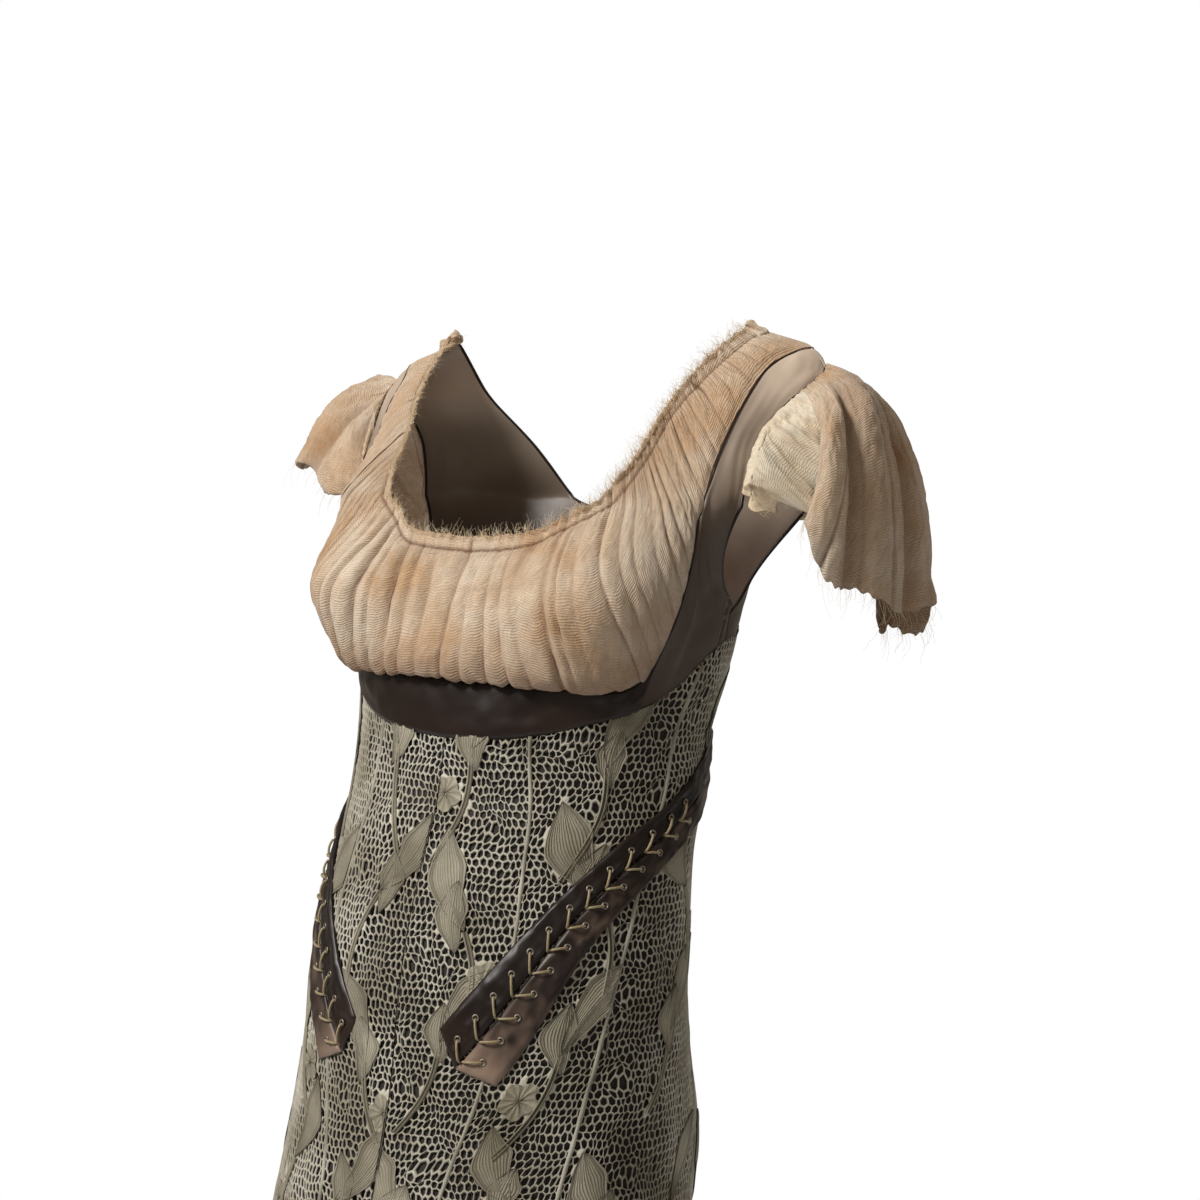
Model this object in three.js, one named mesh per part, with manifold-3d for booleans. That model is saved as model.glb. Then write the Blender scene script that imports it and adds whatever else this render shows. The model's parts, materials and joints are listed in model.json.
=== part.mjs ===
// A cocktail dress in its worn shape: a gathered gauze bust, satin bodice and
// a lace skirt over a dark lining, with laced satin bands and flutter sleeves.
//
// Millimetres, +Z up, wearer's left at +X, front at -Y. The origin lies between
// the shoulder straps, at the height of the shoulder line that carries it.
//
// Every piece of cloth is a patch of one common form. A place on the form is
// (t, s): t counts quarter turns from the centre front (0) over the wearer's
// left side (1) to the centre back (2), and s is the height, which runs up to
// 0 at the shoulder line. skin(t, s, out) gives the point `out` mm above it.

import * as THREE from 'three';
import { mergeVertices } from 'three/addons/utils/BufferGeometryUtils.js';
import Module from 'manifold-3d';

const wasm = await Module();
wasm.setup();

// ---------------------------------------------------------------- sizes

const SEAM = 0.34;              // width of the gap where two pieces are sewn
const HEM = -960;               // height of the skirt's hem
const LINING_DROP = 0.965;      // the lining ends a little above it
const CHEST = -110;             // above this the form turns over the shoulder
const SHOULDER = { y: -4, midX: 150, drop: 0.32, capX: 165, cap: 0.034 };

// layers, as heights above the form
const LINING = { inner: -0.8, outer: 0.2 };
const PANEL = { inner: 1.6, outer: 2.8 };
const BAND = { inner: 1.6, outer: 3.2 };
const STRIP = { inner: 3.9, outer: 5.2 };
const EYELET = { radius: 3.3, bore: 1.6, top: 6.0, pitch: 18.5, count: 13, first: 16, row: 13.5 };
const CORD = { radius: 1.0, height: 7.4, bend: 2.2 };
const ZIP = { halfWidth: 0.0165, end: -428 };   // half width in quarter turns

// Horizontal sections of the form: an oval with its own depth in front and
// behind, its widest line at y, and squareness 2 for a true ellipse.
const SECTIONS = [
  { z: -110, halfWidth: 183, front: 90, back: 96, y: -46, square: 2.5 },
  { z: -160, halfWidth: 148, front: 98, back: 98, y: -61, square: 2.2 },
  { z: -216, halfWidth: 137, front: 102, back: 98, y: -69, square: 2.0 },
  { z: -263, halfWidth: 128, front: 99, back: 93, y: -81, square: 2.0 },
  { z: -309, halfWidth: 128, front: 99, back: 93, y: -90, square: 2.0 },
  { z: -344, halfWidth: 129, front: 100, back: 94, y: -103, square: 2.0 },
  { z: -385, halfWidth: 133, front: 104, back: 98, y: -115, square: 2.0 },
  { z: -434, halfWidth: 136, front: 106, back: 100, y: -125, square: 2.0 },
  { z: -478, halfWidth: 137, front: 106, back: 100, y: -131, square: 2.0 },
  { z: -522, halfWidth: 140, front: 107, back: 101, y: -139, square: 2.0 },
  { z: -593, halfWidth: 144, front: 111, back: 105, y: -157, square: 2.0 },
  { z: -720, halfWidth: 163, front: 124, back: 120, y: -165, square: 2.0 },
  { z: -960, halfWidth: 192, front: 150, back: 148, y: -163, square: 2.0 },
];
const BUST = { t: 0.47, z: -170, rise: 30, width: 0.30, above: 50, below: 40 };
const SEAT = { t: 1.62, z: -560, rise: 30, width: 0.27, above: 95, below: 150 };
const FLUTE = { top: -610, depth: 9, count: 8 };

// ---------------------------------------------------------------- outlines, as places (t, s)

const NECK_FRONT = [
  { s: -106.4, t: 0.297 }, { s: -91.7, t: 0.336 }, { s: -77.1, t: 0.346 },
  { s: -50.7, t: 0.374 }, { s: -25.2, t: 0.414 }, { s: 0, t: 0.440 },
];
const GAUZE_SIDE = [
  { s: -244.9, t: 0.680 }, { s: -218.7, t: 0.680 }, { s: -201.4, t: 0.693 }, { s: -185.2, t: 0.708 },
  { s: -167, t: 0.712 }, { s: -149.8, t: 0.695 }, { s: -128.8, t: 0.639 }, { s: -111.9, t: 0.594 },
  { s: -97, t: 0.597 }, { s: -78.5, t: 0.593 }, { s: -42.5, t: 0.592 }, { s: -26.8, t: 0.604 },
  { s: -9, t: 0.680 }, { s: 0, t: 0.750 },
];
const LACE_TOP = [
  { t: 0.000, s: -262.6 }, { t: 0.207, s: -262 }, { t: 0.348, s: -258.6 }, { t: 0.509, s: -251.5 },
  { t: 0.670, s: -244.8 }, { t: 0.762, s: -237.2 }, { t: 0.836, s: -227.6 }, { t: 0.907, s: -214.9 },
  { t: 0.980, s: -206.5 }, { t: 1.118, s: -198.6 }, { t: 1.400, s: -192 }, { t: 2.000, s: -189 },
];
const PRINCESS_SEAM = [
  { s: -261.7, t: 0.314 }, { s: -386.1, t: 0.372 }, { s: -479.7, t: 0.313 },
  { s: -540.7, t: 0.235 }, { s: -612.3, t: 0.203 }, { s: -960, t: 0.221 },
];
const SIDE_FRONT_SEAM = [
  { s: -197.1, t: 0.939 }, { s: -232, t: 0.909 }, { s: -301.9, t: 0.866 }, { s: -386.1, t: 0.788 }, { s: -457.9, t: 0.700 },
  { s: -546.6, t: 0.596 }, { s: -632.5, t: 0.576 }, { s: -960, t: 0.574 },
];
const SIDE_BACK_SEAM = [{ s: -192, t: 1.40 }, { s: -960, t: 1.40 }];
const CENTRE_FRONT = [{ s: -262.6, t: 0 }, { s: -960, t: 0 }];
const CENTRE_BACK = [
  { s: -189, t: 2 - ZIP.halfWidth }, { s: ZIP.end, t: 2 - ZIP.halfWidth },
  { s: ZIP.end - 8, t: 2 }, { s: -960, t: 2 },
];

const STRAP_FROM = 0.75;        // the strap stands on the bust panel beyond this u
const STRAP_FOOT = { inner: { topT: 0.336, topS: -91.7 }, outer: { topT: 0.597, topS: -97 } };

// the gauze bust from centre front (u 0) to its side edge (u 1)
const BUST_PANEL = [
  { u: 0.00, topT: 0.000, topS: -135.1, footT: 0.000, footS: -232.1 },
  { u: 0.20, topT: 0.080, topS: -134.1, footT: 0.143, footS: -233.3 },
  { u: 0.40, topT: 0.173, topS: -130.3, footT: 0.284, footS: -234.8 },
  { u: 0.55, topT: 0.236, topS: -119.9, footT: 0.395, footS: -236.5 },
  { u: 0.67, topT: 0.297, topS: -106.4, footT: 0.486, footS: -236.5 },
  { u: 0.75, topT: 0.336, topS: -91.7, footT: 0.547, footS: -235.5 },
  { u: 0.90, topT: 0.493, topS: -94.9, footT: 0.639, footS: -230.7 },
  { u: 1.00, topT: 0.597, topS: -97, footT: 0.680, footS: -218.7 },
];
// height of the gauze over the form, from its foot (v 0) to the neckline (v 1)
const BUST_PUFF = [
  { v: 0.00, out: 3.5, tuck: 8, fold: 0.0 }, { v: 0.09, out: 9.0, tuck: 0, fold: 0.9 },
  { v: 0.24, out: 12.0, tuck: 0, fold: 1.5 }, { v: 0.50, out: 7.5, tuck: 0, fold: 1.5 },
  { v: 0.80, out: 4.0, tuck: 0, fold: 1.0 }, { v: 1.00, out: 2.4, tuck: 0, fold: 0.3 },
];

// satin side front: height of its inner edge, and its outer edge along the
// side seam and the armhole
const SIDE_FRONT = [
  { innerS: -244.9, outerT: 1.05, outerS: -202 },
  { innerS: -218.7, outerT: 1.05, outerS: -194 },
  { innerS: -196.0, outerT: 1.05, outerS: -186 },
  { innerS: -174.0, outerT: 1.05, outerS: -178 },
  { innerS: -154.0, outerT: 0.940, outerS: -164 },
  { innerS: -134.0, outerT: 0.820, outerS: -141 },
  { innerS: -114.0, outerT: 0.756, outerS: -118 },
  { innerS: -97.0, outerT: 0.744, outerS: -99 },
  { innerS: -78.8, outerT: 0.734, outerS: -80 },
  { innerS: -60.6, outerT: 0.748, outerS: -62 },
  { innerS: -42.4, outerT: 0.790, outerS: -44 },
  { innerS: -30.3, outerT: 0.832, outerS: -31.5 },
  { innerS: -18.2, outerT: 0.875, outerS: -19.5 },
  { innerS: -12.1, outerT: 0.900, outerS: -13 },
  { innerS: -6.1, outerT: 0.915, outerS: -6.5 },
  { innerS: 0.0, outerT: 0.930, outerS: 0 },
];
// satin back: from the armhole and the side seam to the neckline and the zip
const BACK = [
  { innerT: 1.05, innerS: -202, outerT: 1.9835, outerS: -189 },
  { innerT: 1.05, innerS: -193, outerT: 1.9835, outerS: -168 },
  { innerT: 1.05, innerS: -184, outerT: 1.9835, outerS: -144 },
  { innerT: 1.14, innerS: -173, outerT: 1.9835, outerS: -120 },
  { innerT: 1.20, innerS: -155, outerT: 1.900, outerS: -118 },
  { innerT: 1.235, innerS: -134, outerT: 1.790, outerS: -108 },
  { innerT: 1.250, innerS: -106, outerT: 1.700, outerS: -84 },
  { innerT: 1.240, innerS: -78, outerT: 1.640, outerS: -58 },
  { innerT: 1.200, innerS: -48, outerT: 1.598, outerS: -34 },
  { innerT: 1.120, innerS: -20, outerT: 1.572, outerS: -14 },
  { innerT: 1.070, innerS: 0, outerT: 1.560, outerS: 0 },
];

// centre line of each laced band, from the mitred tip to the side back seam
const LACED_BAND = [
  { t: 0.220, s: -474.9 }, { t: 0.359, s: -439.1 }, { t: 0.492, s: -407 }, { t: 0.615, s: -381.3 },
  { t: 0.813, s: -349.4 }, { t: 1.139, s: -316.1 }, { t: 1.400, s: -290 },
];
const BAND_STRIP = { upper: 25, lower: 28, gap: 1.0, tipUpper: 12, tipLower: 10 };

// Sleeves, from the front of the armhole (first row) over the shoulder to the
// back: a place on the armhole, the point the cloth turns over and the hem.
const SLEEVE_LEFT = [
  { t: 0.812, s: -37, turn: [238, -74, -59], hem: [209, -71, -114] },
  { t: 0.835, s: -31, turn: [251, -79, -54], hem: [216, -69, -127] },
  { t: 0.860, s: -23, turn: [257, -76, -41], hem: [226, -59, -154] },
  { t: 0.888, s: -15, turn: [260, -62, -35], hem: [235, -43, -166] },
  { t: 0.912, s: -9, turn: [263, -43, -32], hem: [243, -23, -173] },
  { t: 0.930, s: -4, turn: [267, -17, -35], hem: [248, 1, -174] },
  { t: 0.945, s: -2, turn: [257, 10, -43], hem: [251, 27, -179] },
  { t: 1.110, s: -17, turn: [245, 51, -55], hem: [223, 58, -191] },
  { t: 1.190, s: -46, turn: [226, 84, -70], hem: [200, 76, -200] },
  { t: 1.228, s: -76, turn: [196, 100, -96], hem: [184, 85, -200] },
  { t: 1.235, s: -120, turn: [169, 103, -125], hem: [180, 80, -167] },
];
const SLEEVE_RIGHT = [
  { t: 0.800, s: -40, turn: [159, -110, -71], hem: [164, -108, -99] },
  { t: 0.815, s: -36, turn: [174, -102, -68], hem: [182, -93, -100] },
  { t: 0.835, s: -30, turn: [194, -89, -65], hem: [207, -84, -93] },
  { t: 0.860, s: -23, turn: [216, -70, -58], hem: [241, -66, -82] },
  { t: 0.885, s: -16, turn: [233, -51, -34], hem: [253, -45, -86] },
  { t: 0.915, s: -8, turn: [241, -22, -24], hem: [260, -19, -96] },
  { t: 0.945, s: -2, turn: [241, 5, -34], hem: [260, 11, -107] },
  { t: 1.110, s: -17, turn: [233, 44, -60], hem: [233, 51, -138] },
  { t: 1.190, s: -46, turn: [213, 67, -73], hem: [201, 78, -180] },
  { t: 1.228, s: -76, turn: [195, 83, -100], hem: [186, 86, -184] },
  { t: 1.235, s: -120, turn: [186, 79, -134], hem: [181, 80, -169] },
];
const SLEEVE = { thick: 1.1, lift: 3.7, ruffle: 5.5, ruffles: 5.5, frillRuffle: 1.5 };

// the frill below the front fold of each sleeve, down the front of the armhole
const FRILL_LEFT = [
  { t: 0.784, s: -45.5, turn: [206, -65, -47], hem: [205, -53, -63] },
  { t: 0.754, s: -57, turn: [202, -96, -50], hem: [206, -53, -86] },
  { t: 0.738, s: -70, turn: [194, -121, -55], hem: [207, -63, -104] },
  { t: 0.735, s: -88, turn: [187, -120, -81], hem: [200, -85, -112] },
  { t: 0.739, s: -104, turn: [185, -110, -105], hem: [190, -94, -113] },
];
const FRILL_RIGHT = [
  { t: 0.770, s: -51, turn: [165, -79, -62], hem: [196, -62, -73] },
  { t: 0.742, s: -64, turn: [158, -88, -68], hem: [200, -71, -83] },
  { t: 0.733, s: -78, turn: [146, -97, -78], hem: [204, -77, -90] },
  { t: 0.736, s: -93, turn: [155, -106, -94], hem: [193, -82, -99] },
  { t: 0.739, s: -105, turn: [169, -99, -107], hem: [181, -80, -105] },
];

// ---------------------------------------------------------------- the form

// value of a named column at `at`, along a smooth curve through the rows
function smooth(rows, key, column, at) {
  const up = rows[rows.length - 1][key] > rows[0][key] ? 1 : -1;
  const n = rows.length;
  if (up * (at - rows[0][key]) <= 0) return rows[0][column];
  if (up * (at - rows[n - 1][key]) >= 0) return rows[n - 1][column];
  let i = 0;
  while (i < n - 2 && up * (at - rows[i + 1][key]) > 0) i++;
  const slope = (j) => {
    const a = rows[Math.max(0, j - 1)], b = rows[Math.min(n - 1, j + 1)];
    return (b[column] - a[column]) / (b[key] - a[key]);
  };
  const span = rows[i + 1][key] - rows[i][key];
  const f = (at - rows[i][key]) / span;
  const f2 = f * f, f3 = f2 * f;
  return (2 * f3 - 3 * f2 + 1) * rows[i][column] + (f3 - 2 * f2 + f) * slope(i) * span
    + (3 * f2 - 2 * f3) * rows[i + 1][column] + (f3 - f2) * slope(i + 1) * span;
}

// a point of the figure's form; the wearer's right has negative t
function form(t, s) {
  const z = Math.min(s, CHEST);
  const section = (column) => smooth(SECTIONS, 'z', column, z);
  const angle = t * Math.PI / 2;
  const sin = Math.sin(angle), cos = Math.cos(angle);
  const width = section('halfWidth');
  const depth = cos > 0 ? section('front') : section('back');
  const power = 2 / section('square');
  const p = new THREE.Vector3(
    width * Math.sign(sin) * Math.abs(sin) ** power,
    section('y') - depth * Math.sign(cos) * Math.abs(cos) ** power,
    s,
  );
  const outward = new THREE.Vector2(sin / width, -cos / depth).normalize();
  const turn = Math.abs(t) > 2 ? 4 - Math.abs(t) : Math.abs(t);
  const swell = ({ t: at, z: height, rise, width: wide, above, below }) => rise
    * Math.exp(-(((turn - at) / wide) ** 2) - ((s - height) / (s > height ? above : below)) ** 2);
  let rise = cos > 0 ? swell(BUST) : swell(SEAT);
  if (s < FLUTE.top) {
    rise += FLUTE.depth * ((FLUTE.top - s) / (FLUTE.top - HEM)) ** 1.3 * Math.cos(FLUTE.count * angle);
  }
  p.x += outward.x * rise;
  p.y += outward.y * rise;
  if (s > CHEST) {
    const q = (s - CHEST) / -CHEST;
    const x = Math.abs(p.x);
    const top = -SHOULDER.drop * (x - SHOULDER.midX) - SHOULDER.cap * Math.max(0, x - SHOULDER.capX) ** 2;
    p.z = CHEST + (top - CHEST) * (1 - (1 - q) ** 1.25);
    p.y = SHOULDER.y + (p.y - SHOULDER.y) * (1 - q ** 1.15);
  }
  return p;
}

// the point `out` mm above the form
function skin(t, s, out) {
  const e = 0.004, d = 0.6;
  const s0 = Math.min(s, -d);
  const across = form(t + e, s0).sub(form(t - e, s0));
  const upward = form(t, s0 + d).sub(form(t, s0 - d));
  return form(t, s).addScaledVector(across.cross(upward).normalize(), out);
}

// ---------------------------------------------------------------- solids

const point = (array) => new THREE.Vector3(...array);

// geometry from points and triangles, turned so that its faces look outward
function solid(points, faces) {
  let volume = 0;
  for (const [a, b, c] of faces) volume += points[a].dot(points[b].clone().cross(points[c]));
  const index = faces.flatMap(([a, b, c]) => (volume > 0 ? [a, b, c] : [a, c, b]));
  const geometry = new THREE.BufferGeometry();
  geometry.setAttribute('position', new THREE.Float32BufferAttribute(points.flatMap((p) => p.toArray()), 3));
  geometry.setIndex(index);
  return geometry;
}

// Draw the border of a grid of points inward by half a seam's width.
function trimmed(grid) {
  const pull = (p, q) => p.addScaledVector(q.clone().sub(p).normalize(), SEAM / 2);
  const out = grid.map((row) => row.map((p) => p.clone()));
  const m = grid.length - 1, n = grid[0].length - 1;
  for (let i = 0; i <= m; i++) { pull(out[i][0], grid[i][1]); pull(out[i][n], grid[i][n - 1]); }
  for (let j = 0; j <= n; j++) { pull(out[0][j], grid[1][j]); pull(out[m][j], grid[m - 1][j]); }
  return out;
}

// A wall of cloth between two faces. face(u, v, side) gives a point for u and
// v from 0 to 1, on side 1 (the right side of the cloth) or side 0 (its wrong
// side); `us` and `vs` are the places of the grid lines.
function cloth(us, vs, face) {
  const points = [], faces = [];
  const rows = us.length, cols = vs.length;
  for (const side of [1, 0]) {
    const grid = trimmed(us.map((u) => vs.map((v) => face(u, v, side))));
    grid.forEach((row) => points.push(...row));
  }
  const at = (side, i, j) => (side ? 0 : rows * cols) + i * cols + j;
  const quad = (a, b, c, d) => faces.push([a, b, c], [a, c, d]);
  for (let i = 0; i + 1 < rows; i++) {
    for (let j = 0; j + 1 < cols; j++) {
      quad(at(1, i, j), at(1, i + 1, j), at(1, i + 1, j + 1), at(1, i, j + 1));
      quad(at(0, i, j), at(0, i, j + 1), at(0, i + 1, j + 1), at(0, i + 1, j));
    }
    quad(at(0, i, 0), at(0, i + 1, 0), at(1, i + 1, 0), at(1, i, 0));
    quad(at(1, i, cols - 1), at(1, i + 1, cols - 1), at(0, i + 1, cols - 1), at(0, i, cols - 1));
  }
  for (let j = 0; j + 1 < cols; j++) {
    quad(at(1, 0, j), at(1, 0, j + 1), at(0, 0, j + 1), at(0, 0, j));
    quad(at(0, rows - 1, j), at(0, rows - 1, j + 1), at(1, rows - 1, j + 1), at(1, rows - 1, j));
  }
  return solid(points, faces);
}

const steps = (count, from = 0, to = 1) =>
  Array.from({ length: count + 1 }, (_, i) => from + (to - from) * i / count);

// the same piece for the wearer's right side
function mirrored(geometry) {
  const copy = geometry.clone();
  copy.scale(-1, 1, 1);
  const index = copy.index.array;
  for (let i = 0; i < index.length; i += 3) [index[i], index[i + 1]] = [index[i + 1], index[i]];
  return copy;
}

function toManifold(geometry) {
  const bare = geometry.clone();
  bare.deleteAttribute('normal');
  bare.deleteAttribute('uv');
  const merged = mergeVertices(bare, 1e-4);
  return new wasm.Manifold(new wasm.Mesh({
    numProp: 3,
    vertProperties: new Float32Array(merged.attributes.position.array),
    triVerts: new Uint32Array(merged.index.array),
  }));
}

function fromManifold(manifold) {
  const mesh = manifold.getMesh();
  const geometry = new THREE.BufferGeometry();
  geometry.setAttribute('position', new THREE.BufferAttribute(new Float32Array(mesh.vertProperties), 3));
  geometry.setIndex(new THREE.BufferAttribute(new Uint32Array(mesh.triVerts), 1));
  return geometry;
}

// a tube along a list of points, its rings square to the path
function tube(path, radius, sides) {
  const points = [], faces = [];
  let side = null;
  path.forEach((p, i) => {
    const ahead = path[Math.min(i + 1, path.length - 1)].clone().sub(path[Math.max(i - 1, 0)]).normalize();
    side = side ?? ahead.clone().cross(new THREE.Vector3(0, 0, 1)).normalize();
    side = side.addScaledVector(ahead, -side.dot(ahead)).normalize();
    const other = ahead.clone().cross(side);
    for (let k = 0; k < sides; k++) {
      const a = 2 * Math.PI * k / sides;
      points.push(p.clone().addScaledVector(side, radius * Math.cos(a)).addScaledVector(other, radius * Math.sin(a)));
    }
    side = side.clone();
  });
  const last = (path.length - 1) * sides;
  for (let k = 0; k < sides; k++) {
    const n = (k + 1) % sides;
    for (let i = 0; i < last; i += sides) faces.push([i + k, i + n, i + sides + n], [i + k, i + sides + n, i + sides + k]);
    if (k > 0 && k < sides - 1) faces.push([0, k + 1, k], [last, last + k, last + k + 1]);
  }
  return solid(points, faces);
}

// a closed ring or disc that stands on the form, for eyelets
function stud(t, s, radius, from, to, sides = 6) {
  const centre = (out) => skin(t, s, out);
  const axis = centre(to).sub(centre(from)).normalize();
  const side = new THREE.Vector3(0, 0, 1).cross(axis).normalize();
  const other = axis.clone().cross(side);
  const points = [], faces = [];
  for (const out of [from, to]) {
    for (let k = 0; k < sides; k++) {
      const a = 2 * Math.PI * k / sides;
      points.push(centre(out).addScaledVector(side, radius * Math.cos(a)).addScaledVector(other, radius * Math.sin(a)));
    }
  }
  for (let k = 0; k < sides; k++) {
    const n = (k + 1) % sides;
    faces.push([k, n, sides + n], [k, sides + n, sides + k]);
    if (k > 0 && k < sides - 1) faces.push([0, k + 1, k], [sides, sides + k, sides + k + 1]);
  }
  return solid(points, faces);
}

// ---------------------------------------------------------------- gauze

// gathers of the bust: ridges of uneven width that fan out with u
const gathers = (u) => Math.cos(2 * Math.PI * (6.6 * u + 0.32 * Math.sin(7.1 * u + 0.6)))
  + 0.45 * Math.cos(2 * Math.PI * 3.1 * u + 1.3);

function bustFace(u, v, side) {
  const a = Math.abs(u);
  const row = (column, at = a) => (at > STRAP_FROM && column.startsWith('top')
    ? THREE.MathUtils.mapLinear(at, STRAP_FROM, 1, STRAP_FOOT.inner[column], STRAP_FOOT.outer[column])
    : smooth(BUST_PANEL, 'u', column, at));
  const puff = (column) => smooth(BUST_PUFF, 'v', column, v);
  const along = (column, at) => row(`foot${column}`, at) + (row(`top${column}`, at) - row(`foot${column}`, at)) * v;
  const loose = 1 - THREE.MathUtils.smoothstep(a, 0.8, 1);     // the side edge lies flat
  const lapped = 1 - THREE.MathUtils.smoothstep(a, 0.6, 0.8);
  const s = along('S', a) + puff('tuck') * lapped;
  const bow = smooth(GAUZE_SIDE, 's', 't', along('S', 1)) - along('T', 1);
  const t = along('T', a) + a ** 5 * bow;
  const out = PANEL.outer + (puff('out') - 1.4 + gathers(u) * puff('fold')) * loose;
  return skin(Math.sign(u) * t, s, out - (side ? 0 : 1.3));
}
const sideTop = STRAP_FOOT.outer.topS, sideFoot = BUST_PANEL[BUST_PANEL.length - 1].footS;
const bustRows = SIDE_FRONT.slice(1, 8).map(({ innerS }) => (innerS - sideFoot) / (sideTop - sideFoot));
const bust = cloth(steps(48, -1, 1), [0, 0.04, 0.1, ...bustRows.slice(1)], bustFace);

// ruched strap, from its foot on the bust (v 0) to the shoulder line (v 1)
function strapFace(u, v, side) {
  const innerS = STRAP_FOOT.inner.topS * (1 - v), outerS = STRAP_FOOT.outer.topS * (1 - v);
  const s = innerS + (outerS - innerS) * u;
  const innerT = smooth(NECK_FRONT, 's', 't', innerS), outerT = smooth(GAUZE_SIDE, 's', 't', outerS);
  const swell = Math.sin(Math.PI * u) * Math.min(1, 6 * v, 6 * (1 - v));
  const ruche = 0.9 * Math.cos(2 * Math.PI * 8 * v) * swell;
  return skin(innerT + (outerT - innerT) * u, s, PANEL.outer + 1.2 * swell + ruche - (side ? 0 : 1.3));
}
const strap = cloth(steps(6), steps(16), strapFace);

const roll = new THREE.SphereGeometry(1, 10, 6);
roll.scale(13, 6.5, 4.2);

// Sleeve cloth hangs from the armhole in an arch over its turning point.
function hanging(rows, ruffle, phase, lift) {
  return (u, v, side) => {
    const at = u * (rows.length - 1);
    const table = rows.map((row, i) => ({ i, ...row, tx: row.turn[0], ty: row.turn[1], tz: row.turn[2],
      hx: row.hem[0], hy: row.hem[1], hz: row.hem[2] }));
    const row = (column) => smooth(table, 'i', column, at);
    const place = (du, w) => {
      const a = Math.min(Math.max(at + du, 0), rows.length - 1);
      const col = (column) => smooth(table, 'i', column, a);
      const foot = skin(col('t'), col('s'), lift);
      const turn = point([col('tx'), col('ty'), col('tz')]);
      const hem = point([col('hx'), col('hy'), col('hz')]);
      return foot.multiplyScalar((1 - w) ** 2).addScaledVector(turn, 2 * w * (1 - w)).addScaledVector(hem, w * w);
    };
    const p = place(0, v);
    const along = place(0.05, v).sub(place(-0.05, v));
    const down = place(0, Math.min(v + 0.03, 1)).sub(place(0, Math.max(v - 0.03, 0)));
    const normal = down.cross(along).normalize();
    const wave = ruffle * v ** 1.5 * Math.sin(2 * Math.PI * (SLEEVE.ruffles * u + 0.2 * Math.sin(9 * u)) + phase);
    return p.addScaledVector(normal, wave + (side ? SLEEVE.thick : 0));
  };
}
const sleeveGrid = [steps(30), [0, 0.12, 0.28, 0.46, 0.64, 0.82, 1]];
const sleeveLeft = cloth(...sleeveGrid, hanging(SLEEVE_LEFT, SLEEVE.ruffle, 0.4, SLEEVE.lift));
const sleeveRight = mirrored(cloth(...sleeveGrid, hanging(SLEEVE_RIGHT, SLEEVE.ruffle, 1.1, SLEEVE.lift)));
const frillGrid = [steps(8), [0, 0.2, 0.45, 0.72, 1]];
const frillLeft = cloth(...frillGrid, hanging(FRILL_LEFT, SLEEVE.frillRuffle, 0, SLEEVE.lift));
const frillRight = mirrored(cloth(...frillGrid, hanging(FRILL_RIGHT, SLEEVE.frillRuffle, 0, SLEEVE.lift)));

// ---------------------------------------------------------------- satin

// a satin panel between an inner and an outer edge, row by row up the body
function panelFace(rows) {
  const table = rows.map((row, i) => ({ i, innerT: smooth(GAUZE_SIDE, 's', 't', row.innerS), ...row }));
  return (u, v, side) => {
    const row = (column) => smooth(table, 'i', column, v * (rows.length - 1));
    const t = row('innerT') + (row('outerT') - row('innerT')) * u;
    let s = row('innerS') + (row('outerS') - row('innerS')) * u;
    if (v === 0) s = smooth(LACE_TOP, 't', 's', t);
    return skin(t, s, side ? PANEL.outer : PANEL.inner);
  };
}
const sideFront = cloth([0, 0.192, 0.416, 0.665, 0.849, 1], steps(SIDE_FRONT.length - 1), panelFace(SIDE_FRONT));
const satinBack = cloth([0, 0.058, ...steps(8, 1 / 9, 1)], steps(BACK.length - 1), panelFace(BACK));

// the band follows the foot of the bust above and the lace below
function bandFace(u, v, side) {
  const a = Math.abs(u);
  const t = smooth(BUST_PANEL, 'u', 'footT', a);
  const foot = smooth(LACE_TOP, 't', 's', t);
  const lapped = 1 - THREE.MathUtils.smoothstep(a, 0.6, 0.8);
  const head = smooth(BUST_PANEL, 'u', 'footS', a) + BUST_PUFF[0].tuck * lapped - 0.6 * (1 - lapped);
  return skin(Math.sign(u) * t, foot + (head - foot) * v, side ? BAND.outer : BAND.inner);
}
const underbust = cloth(steps(24, -1, 1), steps(2), bandFace);

// ---------------------------------------------------------------- lace and lining

// shares of the drop to the hem; two rows close in on the end of the zip
const zipRow = (s) => (s - LACE_TOP[LACE_TOP.length - 1].s) / (HEM - LACE_TOP[LACE_TOP.length - 1].s);
const DROP = [0, 0.036, 0.071, 0.107, 0.147, 0.19, 0.245, zipRow(ZIP.end), zipRow(ZIP.end - 8),
  0.376, 0.463, 0.594, 0.782, 1];

// a panel of the skirt between two seams, from its top edge to the hem
function skirtFace(left, right, layer, hem, cling) {
  return (u, v, side) => {
    let t = 1, s = -600;
    for (let k = 0; k < 8; k++) {
      const from = smooth(left, 's', 't', s), to = smooth(right, 's', 't', s);
      t = Math.min(from + (to - from) * u, 2);
      const top = smooth(LACE_TOP, 't', 's', Math.abs(t));
      s = top + (hem - top) * v;
    }
    return skin(t, s, (side ? layer.outer : layer.inner) - cling(s));
  };
}
const close = () => 0;
const laceFace = (left, right) => skirtFace(left, right, PANEL, HEM, close);
const laceCentre = cloth(steps(4), DROP, laceFace(CENTRE_FRONT, PRINCESS_SEAM));
const laceFront = cloth([0, 0.142, 0.295, 0.447, 0.608, 0.739, 0.869, 1], DROP, laceFace(PRINCESS_SEAM, SIDE_FRONT_SEAM));
const laceSide = cloth([0, 0.125, 0.246, 0.36, 0.466, 0.64, 0.82, 1], DROP, laceFace(SIDE_FRONT_SEAM, SIDE_BACK_SEAM));
const laceBack = cloth(steps(7), DROP, laceFace(SIDE_BACK_SEAM, CENTRE_BACK));

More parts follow.
